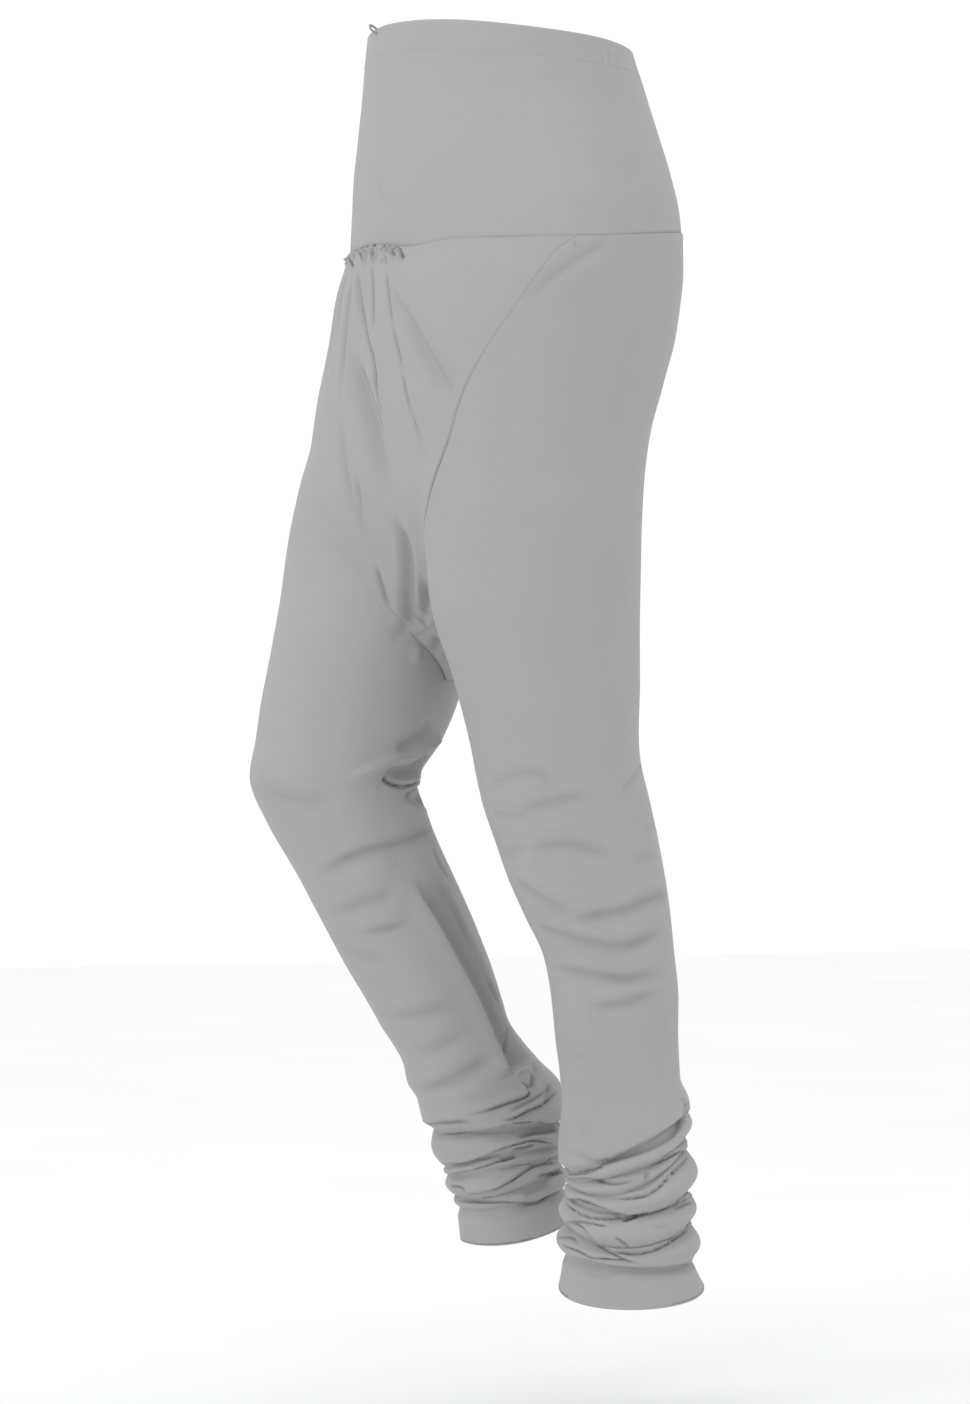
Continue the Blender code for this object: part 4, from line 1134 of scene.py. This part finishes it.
# Stitching
def stitch_tree():
    """Geometry nodes: one short raised stitch after another along curves."""
    tree = bpy.data.node_groups.new("run_of_stitches", "GeometryNodeTree")
    face = tree.interface
    face.new_socket("Geometry", in_out="INPUT", socket_type="NodeSocketGeometry")
    face.new_socket("Pitch", in_out="INPUT", socket_type="NodeSocketFloat")
    face.new_socket("Thread", in_out="INPUT", socket_type="NodeSocketFloat")
    face.new_socket("Material", in_out="INPUT", socket_type="NodeSocketMaterial")
    face.new_socket("Geometry", in_out="OUTPUT", socket_type="NodeSocketGeometry")
    start = add(tree, "NodeGroupInput")
    end = add(tree, "NodeGroupOutput")
    even = add(tree, "GeometryNodeCurveToPoints", {"mode": "LENGTH"},
               {"Curve": start.outputs["Geometry"], "Length": start.outputs["Pitch"]})
    long = add(tree, "ShaderNodeMath", {"operation": "MULTIPLY", 1: 0.7},
               {0: start.outputs["Pitch"]})
    body = add(tree, "GeometryNodeMeshUVSphere", {"Segments": 6, "Rings": 5, "Radius": 0.5})
    size = add(tree, "ShaderNodeCombineXYZ", {}, {
        "X": start.outputs["Thread"], "Y": start.outputs["Thread"], "Z": long.outputs["Value"]})
    placed = add(tree, "GeometryNodeInstanceOnPoints", {}, {
        "Points": even.outputs["Points"], "Instance": body.outputs["Mesh"],
        "Rotation": even.outputs["Rotation"], "Scale": size.outputs["Vector"]})
    real = add(tree, "GeometryNodeRealizeInstances", {}, {"Geometry": placed.outputs["Instances"]})
    smooth = add(tree, "GeometryNodeSetShadeSmooth", {}, {"Geometry": real.outputs["Geometry"]})
    done = add(tree, "GeometryNodeSetMaterial", {}, {
        "Geometry": smooth.outputs["Geometry"], "Material": start.outputs["Material"]})
    tree.links.new(done.outputs["Geometry"], end.inputs["Geometry"])
    return tree


def sew(name, tree, lines, pitch, thread, material):
    """Stitches along lines of points in mm, as one plain mesh."""
    curve = bpy.data.curves.new(name, "CURVE")
    curve.dimensions = "3D"
    for line, loop in lines:
        spline = curve.splines.new("POLY")
        spline.points.add(len(line) - 1)
        spline.points.foreach_set("co", np.concatenate(
            [np.asarray(line) * MM, np.ones((len(line), 1))], axis=1).ravel())
        spline.use_cyclic_u = loop
    guide = bpy.data.objects.new(name + "_guide", curve)
    bpy.context.scene.collection.objects.link(guide)
    guide.modifiers.new("stitches", "NODES").node_group = tree
    values = {"Pitch": pitch * MM, "Thread": thread * MM, "Material": material}
    for item in tree.interface.items_tree:
        if item.in_out == "INPUT" and item.name in values:
            guide.modifiers["stitches"][item.identifier] = values[item.name]
    graph = bpy.context.evaluated_depsgraph_get()
    mesh = bpy.data.meshes.new_from_object(guide.evaluated_get(graph))
    mesh.name = name
    obj = bpy.data.objects.new(name, mesh)
    bpy.context.scene.collection.objects.link(obj)
    bpy.data.objects.remove(guide)
    return obj


def cord_loop(name, route, thick, material):
    """Twisted cord along a route of x, distance out of the waist's front and height."""
    edge = belt.points[int(np.argmax(belt.points[:, 0, 2]))]
    foremost = edge[np.argmin(edge[:, 1])]
    at = through([(foremost[0] + x, foremost[1] - out, foremost[2] + up) for x, out, up in route], 40)
    ahead = np.gradient(at, axis=0)
    ahead /= np.linalg.norm(ahead, axis=1, keepdims=True)
    first = np.cross(ahead, (0.3, 0.2, 1.0))
    first /= np.linalg.norm(first, axis=1, keepdims=True)
    second = np.cross(ahead, first)
    turn = np.linspace(0, 2 * math.pi, 18, endpoint=False)
    twist = np.linspace(0, 5 * math.pi, len(at))[:, None]
    radius = thick / 2 * (1 + 0.1 * np.cos(3 * (turn[None] - twist)))[..., None]
    ring = np.cos(turn)[None, :, None] * first[:, None] + np.sin(turn)[None, :, None] * second[:, None]
    verts = at[:, None] + radius * ring
    rows, cols = verts.shape[:2]
    faces = [(i * cols + j, i * cols + (j + 1) % cols, (i + 1) * cols + (j + 1) % cols, (i + 1) * cols + j)
             for i in range(rows - 1) for j in range(cols)]
    faces += [tuple(range(cols))[::-1], tuple((rows - 1) * cols + j for j in range(cols))]
    mesh = bpy.data.meshes.new(name)
    mesh.from_pydata((verts.reshape(-1, 3) * MM).tolist(), [], faces)
    mesh.shade_smooth()
    mesh.update()
    mesh.materials.append(material)
    obj = bpy.data.objects.new(name, mesh)
    bpy.context.scene.collection.objects.link(obj)
    return obj


def beside_seam(cloth, column_mm, right, rows):
    """Line on the cloth a set distance from one side seam."""
    p = cloth.final()[:rows]
    n = cloth.normals[:rows]
    step = np.linalg.norm(np.diff(p, axis=1), axis=2)
    run = np.concatenate([np.zeros((len(p), 1)), np.cumsum(step, axis=1)], axis=1)
    line = []
    for i in range(len(p)):
        want = run[i, -1] - column_mm if right else column_mm
        spot = [np.interp(want, run[i], p[i, :, k]) for k in range(3)]
        out = [np.interp(want, run[i], n[i, :, k]) for k in range(3)]
        line.append(np.array(spot) + np.array(out) * 0.1)
    return line


# Assembly of the pieces
# Studio surround by the height of the direction: white round the sides, dim above, bright overhead
SKY = [(0.18, 0.74), (0.30, 0.42), (0.55, 0.42), (0.72, 1.0)]
SKY_STRENGTH = 1.38

place_camera()

left = build_leg(LEFT, "left_leg_cloth", 130, 0.85)
right = build_leg(RIGHT, "right_leg_cloth", 146, 0.85)
gusset_from = int(np.searchsorted(STATION_ROWS, GUSSET_START))
front = build_panel("front_panel_cloth", STATION_ROWS[:gusset_from + 1], True, 440, 0.6)
back = build_panel("back_panel_cloth", STATION_ROWS[:gusset_from + 1], False, 210, 0.3)
under = [spread_row(bridge_row(s, True), 60, 0.0) for s in STATION_ROWS[gusset_from:]]
behind = [spread_row(bridge_row(s, False), 60, 0.0) for s in STATION_ROWS[gusset_from:]]
gusset = Cloth("crotch_gusset_cloth", np.array(under + behind[-2::-1]), flip=True)
belt = build_belt(300, 120)
named = {"left_leg": left, "right_leg": right, "front_panel": front, "back_panel": back,
         "crotch_gusset": gusset, "belt": belt}
body = [left, right, front, back, gusset]

ripple(body, 0.55, 130.0, 11, -760.0, -150.0)
ripple(body, 0.22, 48.0, 12, -780.0, -150.0)
ripple([belt], 0.35, 120.0, 13, -220.0, 40.0)
FRONT_GATHER_WIDTH, BACK_GATHER_WIDTH = 88.0, 46.0      # cloth that puffs out, in mm
gather_under_belt(front, FRONT_GATHERS, FRONT_RUNS, FRONT_GATHER_WIDTH)
gather_under_belt(back, BACK_GATHERS, BACK_RUNS, BACK_GATHER_WIDTH)
for piece, kind, depth, width, fade_in, fade_out, route in FOLDS:
    line, normals = on_visible(named[piece], route, 48)
    press_fold(body, line, normals, kind, depth, width, fade_in, fade_out)
for piece, kind, depth, width, fade_in, fade_out, route in HIDDEN_FOLDS:
    line, normals = on_leg(named[piece], route, 48)
    press_fold(body, line, normals, kind, depth, width, fade_in, fade_out)
for piece, kind, depth, width, fade_in, fade_out, route in BELT_FOLDS:
    line, normals = on_visible(belt, route, 32)
    press_fold([belt], line, normals, kind, depth, width, fade_in, fade_out)
leg_seams = np.where(np.arange(len(left.z)) < UPPER_ROWS, 1.0, 0.45)[:, None]
tuck_edges(left, (leg_seams * seam_show(left.z[:, :1], 1), 0.7 * leg_seams), 0.4)
leg_seams = np.where(np.arange(len(right.z)) < UPPER_ROWS, 1.0, 0.35)[:, None]
tuck_edges(right, (leg_seams * seam_show(right.z[:, :1], -1), 0.7 * leg_seams), 0.4)
tuck_edges(front, (seam_show(front.points[:, :1, 2], 1), seam_show(front.points[:, -1:, 2], -1)), 0.4, 0.5)
tuck_edges(back, (0.7, 0.7), 0.4, 0.5)
tuck_edges(gusset, (0.4, 0.3), 0.5, 0.5)
tuck_edges(belt, (0.0, 0.0), 0.25)

cotton = plain_weave_cotton("plain_weave_cotton_grey", "#A4A4A4", "#969696")
belt_cotton = plain_weave_cotton("plain_weave_cotton_belt", "#A4A4A4", "#9A9A9A")
# thread lighter than the cloth: a painted highlight on the stitches
thread = spun_thread("spun_polyester_thread", "#BEBEBE")
cord_cotton = plain_weave_cotton("braided_cotton_cord", "#9C9C9C", "#888888")

for cloth, node in ((belt, "belt"), (front, "front_panel"), (back, "back_panel"),
                    (gusset, "crotch_gusset"), (left, "left_leg"), (right, "right_leg")):
    obj = grid_mesh(cloth)
    obj.data.materials.append(belt_cotton if cloth is belt else cotton)
    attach(obj, "root")
    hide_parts(node)

tree = stitch_tree()
p = belt.final()
casing_row = int(np.argmin(np.abs(belt.share - (1 - CASING_DEPTH * 0.85 / 150.0))))
sewn = [
    sew("casing_stitching", tree, [(p[casing_row, :-1] + belt.normals[casing_row, :-1] * 0.1, True)],
        3.0, 0.4, thread),
    sew("kali_seam_stitching", tree,
        [(beside_seam(front, 0.9, False, gusset_from), False),
         (beside_seam(front, 0.9, True, int(0.75 * gusset_from)), False),
         (beside_seam(back, 0.9, False, gusset_from), False),
         (beside_seam(back, 0.9, True, gusset_from), False)], 3.6, 0.34, thread),
]
for obj in sewn:
    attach(obj, "root")

loop = cord_loop("drawstring_cord", LOOP_ROUTE, LOOP_CORD, cord_cotton)
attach(loop, "root")
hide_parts("drawstring_loop")

# Floor and lights
FLOOR_LEVEL = -1.03      # in metres, below the hems
FLOOR_REACH = 6          # in metres, from the middle to each side
floor_mesh = bpy.data.meshes.new("studio_floor")
floor_mesh.from_pydata([(-FLOOR_REACH, -FLOOR_REACH, FLOOR_LEVEL), (FLOOR_REACH, -FLOOR_REACH, FLOOR_LEVEL),
                        (FLOOR_REACH, FLOOR_REACH, FLOOR_LEVEL), (-FLOOR_REACH, FLOOR_REACH, FLOOR_LEVEL)],
                       [], [(0, 1, 2, 3)])
floor = bpy.data.objects.new("studio_floor", floor_mesh)
bpy.context.scene.collection.objects.link(floor)
floor_mesh.materials.append(pale_floor())


def soft_box(name, where, aim, size, power):
    """Large soft light at a place, turned to a point, in metres."""
    light = bpy.data.lights.new(name, "AREA")
    light.shape = "RECTANGLE"
    light.size, light.size_y = size
    light.energy = power
    obj = bpy.data.objects.new(name, light)
    bpy.context.scene.collection.objects.link(obj)
    obj.location = where
    obj.rotation_euler = (Vector(where) - Vector(aim)).to_track_quat("Z", "Y").to_euler()
    return obj


KEY_WATTS, TOP_WATTS = 14, 5
soft_box("key_light", (1.7, -2.8, 1.0), (0, 0, -0.5), (1.0, 1.2), KEY_WATTS)
soft_box("top_light", (0.6, -0.8, 1.9), (0, 0, -0.6), (1.4, 1.4), TOP_WATTS)
bpy.context.scene.view_settings.view_transform = "Standard"
world = bpy.data.worlds.new("white_studio")
world.use_nodes = True
sky = world.node_tree
toward = add(sky, "ShaderNodeTexCoord")
split = add(sky, "ShaderNodeSeparateXYZ", {}, {"Vector": toward.outputs["Generated"]})
glow = add(sky, "ShaderNodeValToRGB", {}, {"Fac": split.outputs["Z"]})
for place, strength in SKY[:-1]:
    glow.color_ramp.elements.new(place)
for stop, (place, strength) in zip(glow.color_ramp.elements, SKY):
    stop.position = place
    stop.color = (strength, strength, strength, 1.0)
sky.links.new(glow.outputs["Color"], sky.nodes["Background"].inputs["Color"])
sky.nodes["Background"].inputs["Strength"].default_value = SKY_STRENGTH
bpy.context.scene.world = world
